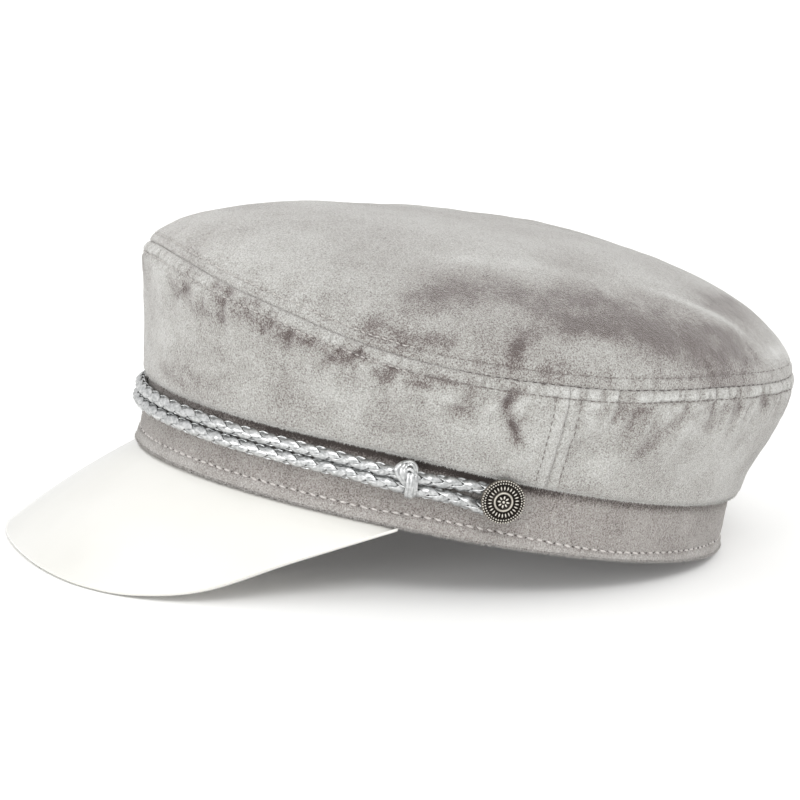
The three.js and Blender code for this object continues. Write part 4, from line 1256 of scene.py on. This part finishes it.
# Rings of lumps: how far out, how many, share of a step turned, height over the face, length, width, height.
lump_rows = [(6.68, 50, 0, -0.1, 0.66, 0.66, 0.5), (5.9, 44, 0.5, 0, 0.66, 0.66, 0.5),
             (4.4, 26, 0, 0.1, 1.6, 0.56, 0.5), (1.4, 8, 0, 0.2, 1.4, 0.72, 0.4),
             (0, 1, 0, 0.25, 1.1, 1.1, 0.5)]


def spun(profile, steps):
    """Points and faces of a profile of (out, up) pairs spun about its own axis, closed at both ends."""
    profile = np.array(profile)
    turns = np.arange(steps) * 2 * math.pi / steps
    ring = np.stack([np.cos(turns), np.sin(turns)], axis=-1)
    points = np.concatenate([np.concatenate([ring * out, np.full((steps, 1), up)], axis=1)
                             for out, up in profile])
    return points, ring_faces(len(profile), steps)


def blob(x, y, z, long, wide, tall, turn):
    """A low rounded lump of a few faces, the start of beads, bars and petals."""
    turns = np.arange(lump_sides) * 2 * math.pi / lump_sides
    points = []
    for out, up, _ in lump_rings:
        a, b = np.cos(turns) * out * long / 2, np.sin(turns) * out * wide / 2
        points.append(np.stack([x + a * math.cos(turn) - b * math.sin(turn),
                                y + a * math.sin(turn) + b * math.cos(turn), z + 0 * a + up * tall], axis=-1))
    points = np.concatenate(points + [[[x, y, z + tall]]])
    last = (len(lump_rings) - 1) * lump_sides
    tip = [[last + i, last + (i + 1) % lump_sides, last + lump_sides] for i in range(lump_sides)]
    return points, ring_faces(len(lump_rings), lump_sides, capped=False) + tip


def button(sign, name):
    angle = np.array(sign * button_angle)
    away = outward(angle)
    ahead = np.cross(away, [0, 0, 1.0])
    middle = band_point(angle, gap, button_height)
    place = lambda p: middle + p[:, :1] * ahead * sign + p[:, 2:] * away + p[:, 1:2] * np.array([0, 0, 1.0])
    radius, face = button_diameter / 2, button_seat + button_thick - relief_height
    # The disc's profile: how far out, how far up, and how high it counts for the wear.
    profile = [
        (0.01, 0, 0.3), (2.5, 0, 0.3), (2.5, button_seat, 0.2), (radius - 0.8, button_seat, 0.2),
        (radius - 0.15, button_seat + 0.5, 0.25), (radius, face - 0.6, 0.3), (radius - 0.1, face - 0.15, 0.35),
        (radius - 0.4, face + 0.02, 0.1), (5.2, face + 0.1, 0.0), (3.25, face + 0.2, 0.0),
        (3.1, face + 0.5, 0.45), (2.85, face + 0.6, 0.7), (2.6, face + 0.5, 0.45), (2.45, face + 0.2, 0.0),
        (0.01, face + 0.3, 0.0),
    ]
    parts = [spun([row[:2] for row in profile], disc_sides)]
    high = [row[2] for row in profile for _ in range(disc_sides)]
    for out, count, turned, above, long, wide, tall in lump_rows:
        for k in range(count):
            turn = (k + turned) * 2 * math.pi / count
            parts.append(blob(out * math.cos(turn), out * math.sin(turn), face + above, long, wide, tall, turn))
            high += [row[2] for row in lump_rings for _ in range(lump_sides)] + [tip_high]
    piece = joined_mesh(name, [(place(points), faces) for points, faces in parts], [antiqued_pewter])
    piece.data.attributes.new("high", "FLOAT", "POINT").data.foreach_set("value", high)
    return outward_faces(piece)


for name, sign in (("left", 1), ("right", -1)):
    dress(button(sign, f"pewter_button_{name}"), "pewter", f"button_{name}")

# %% [markdown]
# ## Table and light
# The shop photograph is shot on white with large soft lamps, so shadows are faint and only the space
# under the cap goes dark. The table is white acrylic, lit a little from below as such tables are, and a
# bright even sky gives most of the light. Two broad lamps by the camera give the cloth its modelling.

# %% Table, sky and lamps
table_glow, sky_strength = 0.07, 0.91
clear_selection()
bpy.ops.mesh.primitive_circle_add(vertices=96, radius=4.0, fill_type="NGON", location=(0, 0, 0))
table = bpy.context.object
table.name = "table"
table_paint, table_shader = new_material("lit_white_acrylic", {"Roughness": 0.9, "Specular IOR Level": 0.1})
table_spot = add_node(table_paint, "ShaderNodeTexCoord")
table_grain = add_node(table_paint, "ShaderNodeTexNoise", values={"Scale": 30.0},
                       links=[("Vector", table_spot, "Object")])
table_colour = ramp(table_paint, table_grain, "Fac", [(0.3, "#fbfbfa"), (0.7, "#fdfdfc")])
join(table_paint, table_colour, "Color", table_shader, "Base Color")
join(table_paint, table_colour, "Color", table_shader, "Emission Color")
table_shader.inputs["Emission Strength"].default_value = table_glow
table.data.materials.append(table_paint)

world = bpy.data.worlds.new("studio")
world.use_nodes = True
world.node_tree.nodes["Background"].inputs["Color"].default_value = linear("#ffffff")
world.node_tree.nodes["Background"].inputs["Strength"].default_value = sky_strength
bpy.context.scene.world = world
bpy.context.scene.view_settings.view_transform = "Standard"
to_left = Vector((-math.cos(azimuth), -math.sin(azimuth), 0))
to_camera = Vector((back.x, back.y, 0)).normalized()


def sun(name, leftward, forward, upward, strength, softness):
    """A broad even lamp, given by how far it stands to the picture's left, to the camera and up."""
    data = bpy.data.lights.new(name, "SUN")
    data.energy, data.angle = strength, math.radians(softness)
    light = bpy.data.objects.new(name, data)
    bpy.context.scene.collection.objects.link(light)
    direction = to_left * leftward + to_camera * forward + Vector((0, 0, upward))
    light.rotation_euler = direction.to_track_quat("Z", "Y").to_euler()
    return light


sun("key", -0.35, 0.8, 1.0, 0.9, 25)
sun("left_fill", 0.5, 0.9, 0.22, 0.85, 24)
print("table and lamps ready")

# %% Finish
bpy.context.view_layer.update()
